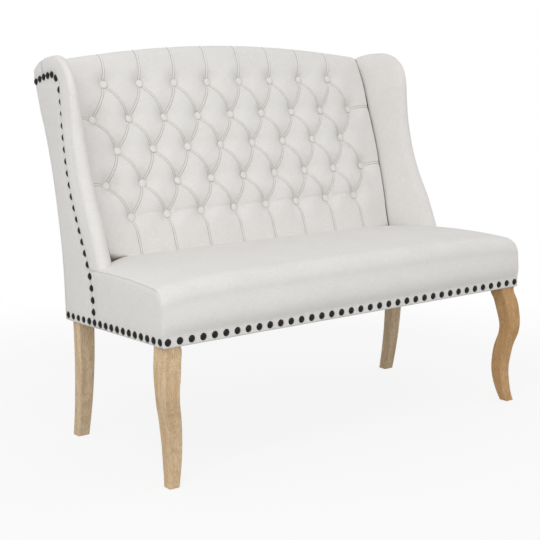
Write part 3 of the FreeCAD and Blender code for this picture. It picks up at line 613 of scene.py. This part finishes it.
def side_grid(low, high, side, puff, tuck, columns):
    """Rows of points on a settee's side between two paths of depth and height, slightly padded, with
    a flat band along the low path, where the nails draw the cloth in."""
    shares = np.linspace(0, 1, columns + 1)
    rows = []
    for (y0, z0), (y1, z1) in zip(low, high):
        y = y0 + (y1 - y0) * shares
        z = z0 + (z1 - z0) * shares
        from_low = shares * math.hypot(y1 - y0, z1 - z0)
        swell = puff * np.clip(1 - (2 * shares - 1) ** 2, 0, 1) * smooth((from_low - puff_start) / puff_reach)
        dip = np.where((shares == 0) | (shares == 1), tuck, 0)
        dip = dip + band_depth * (1 - smooth((from_low - band_height) / band_ease))
        rows.append(np.stack([side * (side_x(y) + swell - dip), y + front_plane, z], axis=1))
    grid = np.stack(rows)
    for end in (0, -1):
        grid[end, :, 0] -= side * tuck
    return grid if side < 0 else grid[:, ::-1]


def seat_end(word, side):
    """Make one end of the seat, from the front corner back to the wing's nails."""
    y, z = seat_profile(0.0)
    keep = y < foot_seam_depth
    seam = np.stack([y[keep], z[keep]], axis=1)
    seam = np.concatenate([seam, [[foot_seam_depth, foot_seam_height]]])
    seam[:, 0] += panel_lap
    foot = np.array([[panel_lap, leg_height + panel_foot_gap], [nail_foot_depth, underside(nail_foot_depth)]])
    steps = np.linspace(0, 1, panel_rows)
    low, high = along(foot, steps ** panel_spacing), along(seam, steps)
    grid = side_grid(low, high, side, panel_puff, panel_tuck, panel_columns)
    depth = grid[:, :, 1] - front_plane
    from_nails = nail_foot_depth + nail_lean * np.clip(grid[:, :, 2] - nail_lean_height, 0, 1) - depth
    level = side * (side_x(depth) - band_depth)
    grid[:, :, 0] += (level - grid[:, :, 0]) * (1 - smooth((from_nails - nail_side_band) / nail_side_band))
    piece = thickened(grid_piece(word + "_seat_end", grid, cream_linen), cloth_thickness)
    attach(piece, "root")
    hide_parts(word + "_seat_side_panel")


both_sides(seat_end)


# The dust cover: thin black felt stapled under the seat frame, slack enough to ripple a little.

felt = plain_finish("dust_felt", (tint(26, 26, 27), tint(58, 57, 56)), 5, 0.95, (0.4, 0.0006), detail=6,
                    stretch=(300, 420, 300))
felt_rows = 60
felt_columns = 140
felt_thickness = 0.0009
felt_margin = 0.009
felt_rise = 0.0014
felt_ripple = 0.0008
felt_waves = ((31, 9), (-5, 23), (57, -41))
felt_side_slack = 8
felt_front_slack = 6


def felt_points():
    """The felt's lower face, level at its stapled edges and rippled between them."""
    depths = np.linspace(felt_margin, box_depth - felt_margin, felt_rows)
    shares = np.linspace(-1, 1, felt_columns)
    y, s = np.meshgrid(depths, shares, indexing="ij")
    x = s * (side_x(y) - felt_margin)
    slack = np.clip(felt_side_slack * (1 - np.abs(s)), 0, 1)
    slack = slack * np.clip(felt_front_slack * np.sin(math.pi * y / box_depth), 0, 1)
    first, second, third = [np.sin(across * x + deep * y) for across, deep in felt_waves]
    z = underside(y) + felt_rise - felt_ripple * slack * (first * second + third / 2)
    return np.stack([x, y + front_plane, z], axis=2)


dust_felt = thickened(grid_piece("dust_felt", felt_points()[::-1], felt), felt_thickness)
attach(dust_felt, "root")
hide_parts("dust_cover")


# The tufted back pad: soft foam under one piece of linen, drawn through to the button board at 42
# buttons. The spare cloth is folded into pleats between the buttons, over the crest and down to the seat.

buttons_low, buttons_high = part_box("tuft_buttons")
button_size = 0.0206
button_pitch = (buttons_high.x - buttons_low.x - button_size) / 8
row_counts = [8, 9, 8, 9, 8]
row_shares = np.array([0, 0.243, 0.497, 0.734, 1])
field_height = 0.342
field_lean = 0.127
back_foot_depth = 0.4745
back_foot_height = 0.564
back_angle = math.atan(field_lean / field_height)
row_places = row_shares * field_height / math.cos(back_angle)
pleat_slant = math.cos(math.atan(button_pitch / 2 / (row_places[-1] / 4)))
pad_foot_height = 0.436
pad_bottom = (pad_foot_height - back_foot_height) / math.cos(back_angle)
pad_below_rows = 26
pad_crest_rows = 30
pad_roll_rows = 30
pad_below_spacing = 1.5
pad_crest_spacing = 1.35
pad_middle = 0.02
pleat_level = 0.024
pillow_crown = 0.0036
foot_level = 0.0215
crest_face = 0.024
crest_crown = 0.0012
crest_rear = -0.018
crest_reach = 0.030
crest_laps = (0.015, 0.03)
crest_height = 1.009
crest_rise = 0.035
arch_half_span = 0.492
crest_fade_turn = 2.2
crest_fade_reach = 0.9
dimple_floor = 0.0045
dimple_radius = 0.0098
dimple_reach = 0.044
dimple_power = 2.2
pillow_edge = 0.011
let_go_reach = 0.04
level_reach = 0.07
fold_ridge = 0.0017
fold_ridge_width = 0.0023
fold_crease = 0.0013
fold_crease_width = 0.0006
fold_half_width = 0.0032
fold_start = 0.0095
fold_fade = 0.004
crease_shade = 0.6
crease_shade_width = 0.0005
ridge_gleam = 0.45
ridge_gleam_width = 0.0015
sag_depth = 0.0013
sag_width = 0.0042
sag_start = 0.011
sag_reach = 0.02
sag_low = 0.002
sag_arch = 0.004
sag_shade = 0.06
ring_shade = 0.2
ring_radius = 0.0106
ring_width = 0.0012
ring_least = 0.01
end_pleat_arch = 0.003
end_pleat_reach = 0.025
pad_edge_gap = 0.0058
pad_edge_round = 0.005
pad_edge_turn = 0.98
pad_edge_shade_top = 0.03
least_pillow = 0.004
corner_tuck = 0.008
corner_tuck_start = 0.432
corner_tuck_reach = 0.012
corner_tuck_height = 0.475
corner_tuck_height_right = 0.464
corner_tuck_rise = 0.17
corner_tuck_ease = 0.006
fold_places = [0, 0.0011, 0.0019, 0.0026, 0.0032, 0.0038, 0.0045, 0.0056, 0.0074, 0.0097, 0.0125, 0.0165]
row_gaps = [0.021, 0.026, 0.031, 0.037]
interval_steps = 5
curve_steps = 24
most_near = 0.45
wing_slope = 0.34
wing_foot_depth = 0.3
wing_flare_start = -0.012
wing_widths = [(0.44, 0.037), (0.6, 0.036), (0.78, 0.035), (0.88, 0.030), (0.95, 0.023), (0.99, 0.018)]
wing_flares = [(0.44, 0.44), (0.48, 0.43), (0.68, 0.217), (0.865, 0.177), (0.95, 0.25), (0.99, 0.29)]


def rounded(points, count):
    """A smooth curve through chosen points, read off at even steps of its length."""
    points = np.asarray(points, float)
    padded = np.concatenate([[2 * points[0] - points[1]], points, [2 * points[-1] - points[-2]]])
    fine = []
    for a, b, c, d in zip(padded, padded[1:], padded[2:], padded[3:]):
        for t in np.linspace(0, 1, curve_steps, endpoint=False):
            fine.append(0.5 * (2 * b + (c - a) * t + (2 * a - 5 * b + 4 * c - d) * t ** 2
                               + (3 * b - a - 3 * c + d) * t ** 3))
    fine.append(points[-1])
    return along(fine, np.linspace(0, 1, count))


width_curve = rounded(wing_widths, 80)
flare_curve = rounded(wing_flares, 80)


def wing_width(height):
    """How wide the wing's roll is at a height."""
    return np.interp(height, width_curve[:, 0], width_curve[:, 1])


def wing_thickness(depth, height):
    """How thick the wing is, from its outside in: its roll, and more the further behind its front edge."""
    behind = depth - wing_foot_depth - wing_slope * (height - seat_side_height)
    flare = np.interp(height, flare_curve[:, 0], flare_curve[:, 1])
    return wing_width(height) + flare * np.maximum(behind, wing_flare_start)


def off_board(up, out):
    """The depth and height of what lies up the reclined button board and out from it."""
    y = back_foot_depth + up * math.sin(back_angle) - out * math.cos(back_angle)
    z = back_foot_height + up * math.cos(back_angle) + out * math.sin(back_angle)
    return y, z


def button_columns(count):
    """The x places of a row's buttons."""
    return (np.arange(count) - (count - 1) / 2) * button_pitch


def on_back(x, up, out):
    """The point that lies across, up and out from the button board."""
    y, z = off_board(up, out)
    return np.stack([x, y + front_plane, z], axis=-1)


def pad_half_width(up):
    """Where the pad's face meets the wing's inner face."""
    y, z = off_board(up, pad_middle)
    return side_x(y) - wing_thickness(y, z) - pad_edge_gap


def between_rows(up):
    """How far the pleats have opened at a height: 0 on rows of eight buttons, 1 on rows of nine."""
    lower = np.clip(np.searchsorted(row_places, up, side="right") - 1, 0, len(row_places) - 2)
    share = (up - row_places[lower]) / (row_places[lower + 1] - row_places[lower])
    share = np.clip(share, 0, 1)
    return np.where(lower % 2 == 0, share, 1 - share)


def fold(away):
    """The tuck along a pleat: a narrow flat ridge of folded cloth between two creases."""
    ridge = fold_ridge * np.exp(-(away / fold_ridge_width) ** 4)
    crease = fold_crease * np.exp(-((away - fold_half_width) / fold_crease_width) ** 2)
    return ridge - crease


def column_place(x):
    """Distance from the nearest column of the eight-button rows, in half pitches."""
    half = button_pitch / 2
    outermost = 7 * half
    inside = np.abs(((np.abs(x) / half) % 2) - 1)
    return np.where(np.abs(x) > outermost, (np.abs(x) - outermost) / half, inside)


def outer_face(x, up):
    """How far the pad stands out from the button board, and how deep in a crease each point lies."""
    half = button_pitch / 2
    opened = between_rows(up)
    place = column_place(x)
    last = half * (7 + opened)
    end = pad_half_width(up)
    beyond = np.clip(np.where(up < 0, -up, up - row_places[-1]), 0, None)
    let_go = smooth(beyond / let_go_reach)
    slant = pleat_slant + (1 - pleat_slant) * let_go
    away = np.abs(place - opened) * half * slant

    inside_small = place < opened
    reach = np.where(inside_small, place, 1 - place)
    rise = np.where(inside_small, 1 - opened, opened)
    p = np.clip(1 - (reach + rise) ** 2, 0, 1)
    q = np.clip(1 - (reach - rise) ** 2, 0, 1)
    edge_body = 1 - np.exp(-away / pillow_edge)
    body = np.sqrt(p * q) * (1 - let_go) + edge_body * let_go
    body = np.where(np.abs(x) > last, edge_body, body)
    row_away = np.min(np.abs(up[..., None] - row_places[[1, 3]]), axis=-1)
    past_field = np.abs(x) > 8 * half
    body = np.where(past_field, body * (1 - np.exp(-row_away / pillow_edge)), body)
    away = np.where(past_field, np.minimum(away, row_away), away)

    far = smooth(beyond / level_reach)
    level = pleat_level + (np.where(up < 0, foot_level, crest_face - crest_crown) - pleat_level) * far
    crown = pillow_crown + np.where(up < 0, 0, crest_crown - pillow_crown) * far
    button_away = button_distance(x, up)
    risen = 1 - (1 - np.clip((button_away - dimple_radius) / dimple_reach, 0, 1)) ** dimple_power
    height = dimple_floor + (level - dimple_floor + crown * body) * risen

    clear = smooth((button_away - fold_start) / fold_fade)
    height = height + fold(away) * clear
    arch = sag_low + sag_arch * np.clip(1 - (1 - place) ** 2, 0, 1)
    sag = np.exp(-((up - arch) / sag_width) ** 2) * smooth((button_away - sag_start) / sag_reach)
    sag = sag * (np.abs(x) < 7 * half)
    height = height - sag_depth * sag
    # Painted shade and highlight in the colour, apart from the relief: dark lines along each pleat's creases
    # and each sag, a dark ring round each button, and a painted highlight along each pleat's ridge.
    crease = crease_shade * np.exp(-((away - fold_half_width) / crease_shade_width) ** 2) * clear
    crease = crease + sag_shade * sag
    crease = crease - ridge_gleam * np.exp(-(away / ridge_gleam_width) ** 4) * clear
    ring = ring_shade * np.exp(-((button_away - ring_radius) / ring_width) ** 2)
    crease = np.where(ring > ring_least, np.maximum(crease, ring), crease)
    edge = np.clip((np.abs(x) - (end - pad_edge_round)) / pad_edge_round, 0, 1)
    height = height - pad_edge_round * (1 - np.sqrt(1 - edge ** 2 * pad_edge_turn))
    # Painted shade on the pad's edge, where it turns into the gap beside the wing.
    shade_beside_wing = edge ** 3 * (up < row_places[-1] + pad_edge_shade_top)
    return height, np.where(edge > 0, np.maximum(crease, shade_beside_wing), crease)


def button_distance(x, up):
    """How far each point lies from the middle of the nearest button."""
    nearest = np.full(np.shape(x), 1.0)
    for count, row in zip(row_counts, row_places):
        first = -(count - 1) / 2 * button_pitch
        column = np.clip(np.round((x - first) / button_pitch), 0, count - 1)
        nearest = np.minimum(nearest, np.hypot(x - first - column * button_pitch, up - row))
    return nearest


def interval(start, width, nearest):
    """Places across one pillow, at chosen distances from the folds at both its sides and even between."""
    near = np.array(fold_places) * nearest
    near = near * min(1, most_near * width / near[-1])
    rest = np.linspace(near[-1], width / 2, interval_steps + 1)[1:]
    half = np.concatenate([near, rest])
    return start + np.concatenate([half, width - half[-2::-1]])


def pad_row(up):
    """The x places of one row: a cluster at every pleat."""
    opened = float(between_rows(np.array(up)))
    inside = 0 <= up <= row_places[-1]
    widest = button_pitch - least_pillow
    width = np.clip(opened * button_pitch, least_pillow, widest) if inside else least_pillow
    nearest = 1 / pleat_slant if inside else 1.0
    end = pad_half_width(up)
    stops = [-end]
    for centre in button_columns(row_counts[0]):
        stops += [centre - width / 2, centre + width / 2]
    stops.append(end)
    places = [[-end]]
    for a, b in zip(stops, stops[1:]):
        places.append(interval(a, b - a, nearest)[1:])
    return np.concatenate(places)


def pad_rows():
    """Heights of the rows up the tufted field: a cluster at every row of buttons."""
    rows = [0.0]
    for a, b in zip(row_places, row_places[1:]):
        half = np.concatenate([fold_places, row_gaps, [(b - a) / 2]])
        rows += (a + half[1:]).tolist()
        rows += (b - half[-2::-1]).tolist()
    return rows


def end_arch(x, up):
    """The short pleats beside the wings arch a little."""
    share = np.clip((np.abs(x) - 4 * button_pitch) / (pad_half_width(up) - 4 * button_pitch), 0, 1)
    near = np.exp(-((up[..., None] - row_places[[1, 3]]) / end_pleat_reach) ** 2).sum(-1)
    return end_pleat_arch * np.sin(math.pi * share) * near


def crest_top(x):
    """The height of the pad's arched top."""
    return crest_height - crest_rise * (x / arch_half_span) ** 2


def corner_tucked(place):
    """How far the pad's lower corners are tucked back beside the wings, the left one higher up."""
    x, z = place[:, 0], place[:, 2]
    beyond = np.abs(x) - corner_tuck_start
    line = np.where(x < 0, corner_tuck_height, corner_tuck_height_right) + corner_tuck_rise * beyond
    return smooth((line - z) / corner_tuck_ease) * smooth(beyond / corner_tuck_reach)


def pad_points():
    """Rows up the pad's face, over the crest and down its rear, and how deep each point lies in a crease."""
    # The crease values are painted shade, or painted highlight where below nought; the tucked lower corners
    # beside the wings take painted shade too.
    rows, painted_light_rows = [], []
    below = pad_bottom * graded(pad_below_rows, pad_below_spacing)[::-1]
    for up in np.concatenate([below[:-1], pad_rows()]):
        x = pad_row(up)
        level = np.full_like(x, up)
        out, crease = outer_face(x, level)
        arched = level + end_arch(x, level)
        tucked = corner_tucked(on_back(x, arched, out))
        rows.append(on_back(x, arched, out - corner_tuck * tucked))
        painted_light_rows.append(np.maximum(crease, pocket_shade * tucked))
    x = pad_row(row_places[-1] + 0.01)
    half_depth = (crest_face - crest_rear) / 2
    middle = (crest_face + crest_rear) / 2
    lift = math.hypot(crest_reach * math.cos(back_angle), half_depth * math.sin(back_angle))
    start = (crest_top(x) - lift - back_foot_height - middle * math.sin(back_angle)) / math.cos(back_angle)
    for share in graded(pad_crest_rows, pad_crest_spacing)[1:]:
        up = row_places[-1] + (start - row_places[-1]) * share
        out, crease = outer_face(x, up)
        rows.append(on_back(x, up, out))
        painted_light_rows.append(crease)
    sunk = crest_face - out
    for turn in np.linspace(0, math.pi, pad_roll_rows)[1:]:
        fade = 1 - smooth((turn - crest_fade_turn) / crest_fade_reach)
        up = start + (crest_reach - sunk * fade) * math.sin(turn)
        out = middle + (half_depth - sunk * fade) * math.cos(turn)
        rows.append(on_back(x, up, out))
        painted_light_rows.append(crease * fade)
    for drop in crest_laps:
        rows.append(on_back(x, start - drop, np.full_like(x, crest_rear)))
        painted_light_rows.append(np.zeros_like(x))
    base = pad_row(pad_bottom)
    rows.append(on_back(base, np.full_like(base, pad_bottom), np.full_like(base, crest_rear)))
    painted_light_rows.append(np.zeros_like(x))
    return np.stack(rows), np.stack(painted_light_rows)


pad_grid, pad_painted_light = pad_points()
back_pad = grid_piece("back_pad", pad_grid, cream_linen, caps=True, ring=True, crease=pad_painted_light)
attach(back_pad, "root")
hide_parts("back_cover", "back_foam")


# The buttons: 42 domed shells covered in the same linen, each drawn down into its dimple by twine.

button_cloth = 0.0005
button_thickness = 0.0055
button_lift = 0.0037
button_tilt = math.radians(7)
button_wobble = 0.012
button_ring_shares = [(0, 1), (0.35, 0.98), (0.62, 0.93), (0.82, 0.84), (0.93, 0.72), (0.985, 0.58), (1, 0.4),
                      (0.97, 0.1), (0.85, 0)]
button_sides = 32
button_chance = np.random.default_rng(7)


def covered_button(x, up):
    """The points of one button, its crown turned away from the board and leaning a little."""
    lean_x, lean_up = button_chance.uniform(-button_tilt, button_tilt, 2)
    around = np.arange(button_sides) / button_sides * math.tau
    rings = []
    for reach, height in button_ring_shares:
        wobble = 1 + button_wobble * np.sin(3 * around + x * 90)
        dx = reach * (button_size / 2 + button_cloth) * np.cos(around) * wobble
        du = reach * (button_size / 2 + button_cloth) * np.sin(around) * wobble
        out = button_lift + button_thickness * height + lean_x * dx + lean_up * du
        rings.append(on_back(x + dx, up + du, out))
    return np.stack(rings)


def button_mesh():
    """All the buttons in one mesh, row by row."""
    verts, faces, cloth = [], [], []
    for count, row in zip(row_counts, row_places):
        for x in button_columns(count):
            rings = covered_button(x, row)
            base = len(verts)
            verts += rings.reshape(-1, 3).tolist()
            cloth += [(v[0], v[2], 0) for v in rings.reshape(-1, 3)]
            for r in range(1, len(rings)):
                for k in range(button_sides):
                    n = (k + 1) % button_sides
                    a, b = base + (r - 1) * button_sides, base + r * button_sides
                    if r == 1:
                        faces.append((base, b + k, b + n))
                    else:
                        faces.append((a + k, b + k, b + n, a + n))
            last = base + (len(rings) - 1) * button_sides
            faces.append(tuple(last + k for k in reversed(range(button_sides))))
    data = bpy.data.meshes.new("tufting_buttons")
    data.from_pydata(verts, [], faces)
    data.attributes.new("cloth", "FLOAT_VECTOR", "POINT").data.foreach_set("vector", np.array(cloth).ravel())
    return data


button_linen = linen("button_linen", tint(233, 231, 229), tint(221, 218, 214))
button_data = button_mesh()
button_data.materials.append(button_linen)
button_data.shade_smooth()
tufting_buttons = link_object("tufting_buttons", button_data)
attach(tufting_buttons, "root")
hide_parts("tuft_buttons")


# The wings: each side board is padded with foam, thick and round along its front and top edges. The
# linen starts inside, behind the back pad, rolls over the edge and is nailed down on the outside.

wing_rear_depth = 0.637
wing_top_height = 0.986
wing_foot_lead = 0.016
wing_foot_height = 0.446
wing_tail_lap = 0.022
wing_tail_height = 0.944
front_edge_depth_shares = [-0.012, 0.105, 0.212, 0.295, 0.359, 0.389, 0.407, 0.451, 0.527, 0.608, 0.695,
                           0.836, 0.955]
front_edge_height_shares = [0, 0.18, 0.313, 0.444, 0.602, 0.737, 0.834, 0.915, 0.966, 0.991, 1, 0.992, 0.968]
rear_edge_depth_shares = [0, 0.075, 0.25, 0.414, 0.62, 0.822, 0.995, 1]
rear_edge_height_shares = [0, 0.247, 0.449, 0.589, 0.716, 0.8155, 0.936, 0.955]
nail_path_depth_shares = [0.117, 0.136, 0.188, 0.307, 0.42, 0.494, 0.536, 0.553, 0.574, 0.611, 0.687,
                          0.816, 0.985]
nail_path_height_shares = [0, 0.147, 0.237, 0.363, 0.482, 0.612, 0.74, 0.833, 0.874, 0.909, 0.929, 0.92,
                           0.897]
wing_rows = 150
outer_columns = 20
roll_columns = 22
inner_columns = 34
nail_row_spacing = 0.92
hidden_row_spacing = 1.1
outer_spacing = 1.3
inner_spacing = 1.1
rear_edge_points = 300
nail_line_points = 400
nail_upright_points = 80
nail_pull = 0.0026
nail_pull_reach = 0.011
nail_overhang = 0.0034
nail_overhang_start = 0.002
nail_overhang_reach = 0.006
nail_overhang_fade = 1.2
overhang_low = 0.4
overhang_rise = 0.3
overhang_top = 0.88
overhang_fall = 0.03
outer_swell = 0.0022
roll_taper = 0.0016
roll_taper_low = 0.5
roll_taper_rise = 0.15
roll_taper_high = 0.86
roll_taper_fall = 0.1
roll_taper_loss = 0.7
roll_taper_power = 1.5
foot_tuck = 0.0042
foot_tuck_top = 0.003
foot_tuck_ease = 0.004
inner_puff = 0.004
inner_puff_end = 1.15
inner_puff_power = 0.8
inner_rise = 1.12
hidden_low = 0.45
hidden_high = 0.955
hidden_gap = 0.004
rear_gap = 0.001
pad_front = 0.023
pad_front_ease = 0.004
pad_top_margin = 0.006
pad_end_margin = 0.006
pad_end_ease = 0.005
tuck_depth = 0.598
tuck_low = 0.9
tuck_half_rows = 0.9
tuck_pull = 0.04
tuck_sink = 0.0015
tuck_shade = 0.3
tuck_end = 1.6
foot_tuck_end = 3


def spanned(depth_shares, height_shares, depths, heights):
    """Points of depth and height, from their shares between two depths and two heights."""
    y = depths[0] + (depths[1] - depths[0]) * np.array(depth_shares)
    z = heights[0] + (heights[1] - heights[0]) * np.array(height_shares)
    return np.stack([y, z], axis=1)


edge_path = spanned(front_edge_depth_shares, front_edge_height_shares, (wing_foot_depth, wing_rear_depth),
                    (seat_side_height, wing_top_height))
edge_foot = (wing_foot_depth - wing_foot_lead, wing_foot_height)
edge_tail = (wing_rear_depth + wing_tail_lap, wing_tail_height)
edge_path = np.concatenate([[edge_foot], edge_path, [edge_tail]])
nail_path = spanned(nail_path_depth_shares, nail_path_height_shares, (wing_foot_depth, wing_rear_depth),
                    (rear_leg_height, wing_top_height))
wing_edge = rounded(edge_path, wing_rows)
rear_edge = rounded(spanned(rear_edge_depth_shares, rear_edge_height_shares, (box_depth, wing_rear_depth),
                            (rear_leg_height, wing_top_height)), rear_edge_points)


def nail_line(height_low):
    """The nail path from a height up, round the shoulder and back to the rear edge."""
    fine = rounded(nail_path, nail_line_points)
    start = np.searchsorted(fine[:nail_upright_points, 1], height_low)
    return fine[start:]


def nail_dip(offset):
    """How far the nails draw the cloth in beside their line."""
    return -nail_pull * np.exp(-(np.linalg.norm(offset, axis=1) / nail_pull_reach) ** 2)


def board_depth(height):
    """The depth of the button board's face at a height."""
    return back_foot_depth + (height - back_foot_height) * math.tan(back_angle)


def wing_columns(fixed):
    """The runs up the wing, from the nails over the roll and down to behind the pad. Each has its points
    of depth and height, its share of the wing's thickness, and how far the cloth swells there."""
    edge = wing_edge
    run = np.gradient(edge, axis=0)
    run /= np.linalg.norm(run, axis=1)[:, None]
    inward = np.stack([run[:, 1], -run[:, 0]], axis=1)
    radius = wing_width(edge[:, 1])[:, None] / 2
    outer_start = edge + inward * radius
    up = graded(wing_rows - 1, hidden_row_spacing)
    hidden_z = hidden_low + (hidden_high - hidden_low) * np.clip(up * inner_rise, 0, 1)
    hidden_y = board_depth(hidden_z) + hidden_gap
    hidden = np.stack([np.minimum(hidden_y, wing_rear_depth - hidden_gap), hidden_z], axis=1)
    upright = np.clip((fixed[:, 1] - overhang_low) / overhang_rise, 0, 1)
    upright = upright * (1 - smooth((fixed[:, 1] - overhang_top) / overhang_fall))
    taper = roll_taper * smooth((edge[:, 1] - roll_taper_low) / roll_taper_rise)
    taper = taper * (1 - roll_taper_loss * smooth((edge[:, 1] - roll_taper_high) / roll_taper_fall))
    columns = []
    for t in graded(outer_columns, outer_spacing):
        point = fixed + (outer_start - fixed) * t
        off = np.linalg.norm(point - fixed, axis=1)
        over = smooth((off - nail_overhang_start) / nail_overhang_reach)
        beside = nail_overhang * upright * over * (1 - t) ** nail_overhang_fade
        lean = outer_swell * math.sin(math.pi * t) - taper * t ** roll_taper_power
        columns.append((point, 0.0, nail_dip(point - fixed) * (1 - upright) + lean + beside))
    for turn in np.linspace(0, math.pi, roll_columns + 2)[1:-1]:
        share = (1 - math.cos(turn)) / 2
        columns.append((edge + inward * radius * (1 - math.sin(turn)), share, -taper * (1 - share)))
    for t in graded(inner_columns, inner_spacing):
        point = outer_start + (hidden - outer_start) * t
        puffed = math.sin(math.pi * min(t * inner_puff_end, 1)) ** inner_puff_power
        columns.append((point, 1.0, -inner_puff * puffed))
    return columns


# Painted shade for the wing's inner face in the gap behind the pad.
def beside_pad(x, y, z, share):
    """One where the wing's inner face runs down behind the pad's face, and nought elsewhere."""
    pad_face = board_depth(z) - pad_front / math.cos(back_angle)
    pad_end = pad_half_width((z - back_foot_height) / math.cos(back_angle))
    behind = share * smooth((y - pad_face) / pad_front_ease) * (z < crest_top(x) - pad_top_margin)
    return behind * (1 - smooth((x - pad_end - pad_end_margin) / pad_end_ease))


def wing_points(side):
    """Points from the nails over the wing's roll to behind the pad, and how deep in shade they lie."""
    fixed = along(nail_line(foot_seam_height), graded(wing_rows - 1, nail_row_spacing))
    grid, shade = [], []
    tuck_row = np.argmin(np.abs(wing_edge[:, 0] - tuck_depth) + (wing_edge[:, 1] < tuck_low))
    tuck = np.exp(-((np.arange(wing_rows) - tuck_row) / tuck_half_rows) ** 2)
    for point, share, swell in wing_columns(fixed):
        on_tuck = tuck * (1 - smooth(share * tuck_end))
        point = point - (wing_edge - fixed) * (tuck_pull * on_tuck)[:, None]
        below_seam = smooth((foot_seam_height + foot_tuck_top - point[:, 1]) / foot_tuck_ease)
        below_seam = below_seam * (1 - smooth(share * foot_tuck_end))
        swell = swell - tuck_sink * on_tuck - foot_tuck * below_seam
        z = point[:, 1]
        y = np.minimum(point[:, 0], np.interp(z, rear_edge[:, 1], rear_edge[:, 0]) - rear_gap)
        x = side_x(y) - share * wing_thickness(y, z) + swell
        grid.append(np.stack([side * x, y + front_plane, z], axis=1))
        # Painted shade: the wing's cloth is darkened in the gap behind the pad and in the tuck on its roll.
        shade.append(np.maximum(beside_pad(x, y, z, share), tuck_shade * on_tuck))
    grid, shade = np.stack(grid, axis=1), np.stack(shade, axis=1)
    return (grid, shade) if side < 0 else (grid[:, ::-1], shade[:, ::-1])


def wing_cushion(word, side):
    """Make one wing's padded cover, from the nails over the roll to behind the pad."""
    grid, shade = wing_points(side)
    cover = grid_piece(word + "_wing_cushion", grid, cream_linen, crease=shade, closed=-1)
    piece = thickened(cover, cloth_thickness)
    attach(piece, "root")
    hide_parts(word + "_wing_cover", word + "_wing_foam")


both_sides(wing_cushion)


# The outside panels: linen stretched over the bare side board behind the nails, from the underside to
# the wing's shoulder, and turned in at the rear edge.

outside_rows = 120
outside_columns = 26
outside_puff = 0.0012
outside_tuck = 0.001


def outside_side(word, side):
    """Make one outside panel, in rows from the nail line back to the rear edge."""
    steps = np.linspace(0, 1, outside_rows)
    front = along(nail_line(0.0), steps)
    front[0] = (nail_foot_depth, underside(nail_foot_depth))
    rear = along(rear_edge[rear_edge[:, 1] < front[-1, 1]], steps)
    grid = side_grid(front[::-1], rear[::-1], side, outside_puff, outside_tuck, outside_columns)
    above_band = smooth((grid[:, :, 2] - underside(grid[:, :, 1] - front_plane) - band_height) / band_ease)
    grid[:, :, 0] -= side * band_depth * (1 - above_band)
    piece = thickened(grid_piece(word + "_outside_panel", grid, cream_linen), cloth_thickness)
    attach(piece, "root")
    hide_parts(word + "_outside_wing_panel")


both_sides(outside_side)


# The outside back: one plain piece of linen from the crest to the underside, drawn tight over the
# frame, blind-tacked along the top and turned in down both rear edges.

back_rows = 110
back_columns = 180
back_foot_gap = 0.0005
back_crest_drop = 0.009
back_corner_height = 0.947
back_corner_rise = 0.0136
back_corner_half = 0.036
back_corner_start = 0.008
back_corner_ease = 0.012
back_clearance = 0.0028
back_swell = 0.004
back_swell_ease = 8
back_side_inset = 0.0006
back_top_tuck = 0.002


def outside_back_points():
    """Rows up the outside back: level below, and following the pad's crest and the wings' tops above."""
    pad_end = pad_half_width(row_places[-1])
    shares = np.linspace(-1, 1, back_columns)
    x = shares * side_x(wing_rear_depth)
    at_wing = smooth((np.abs(x) - pad_end + back_corner_start) / back_corner_ease)
    from_middle = (side_x(wing_rear_depth) - back_corner_half - np.abs(x)) / back_corner_half
    over = np.clip(1 - np.abs(from_middle) ** 3, 0, 1)
    corner = back_corner_height + back_corner_rise * np.sqrt(over)
    top = (crest_top(x) - back_crest_drop) * (1 - at_wing) + corner * at_wing
    low = rear_leg_height + back_foot_gap
    rows = []
    for h in np.linspace(0, 1, back_rows):
        z = low + (top - low) * h
        above = np.clip(z - rear_edge[-1, 1], 0, None)
        y = np.interp(z, rear_edge[:, 1], rear_edge[:, 0]) + above * math.tan(back_angle)
        swell = back_clearance + back_swell * (1 - shares ** 4) * min(1, back_swell_ease * h)
        x = shares * (side_x(y) - back_side_inset)
        rows.append(np.stack([x, y + front_plane + swell - back_top_tuck * (h == 1), z], axis=1))
    return np.stack(rows)


outside_back = grid_piece("outside_back", outside_back_points()[::-1], cream_linen)
outside_back = thickened(outside_back, cloth_thickness)
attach(outside_back, "root")
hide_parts("outside_back_panel")


# The nail trim: domed upholstery nails, lacquered black, hammered close together along the bottom of
# the seat and up the outside of each wing.

lacquer = plain_finish("black_nails", (tint(3, 3, 3), tint(9, 8, 8)), 260, (0.2, 0.38), (0.04, 0.0002),
                       more={"Specular IOR Level": 0.05, "Coat Weight": 0.42, "Coat Roughness": 0.05})
nail_rows = ("front_nails", "right_seat_side_nails", "left_seat_side_nails", "right_wing_nails",
             "left_wing_nails")
for name in nail_rows:
    paint_node(name, lacquer)
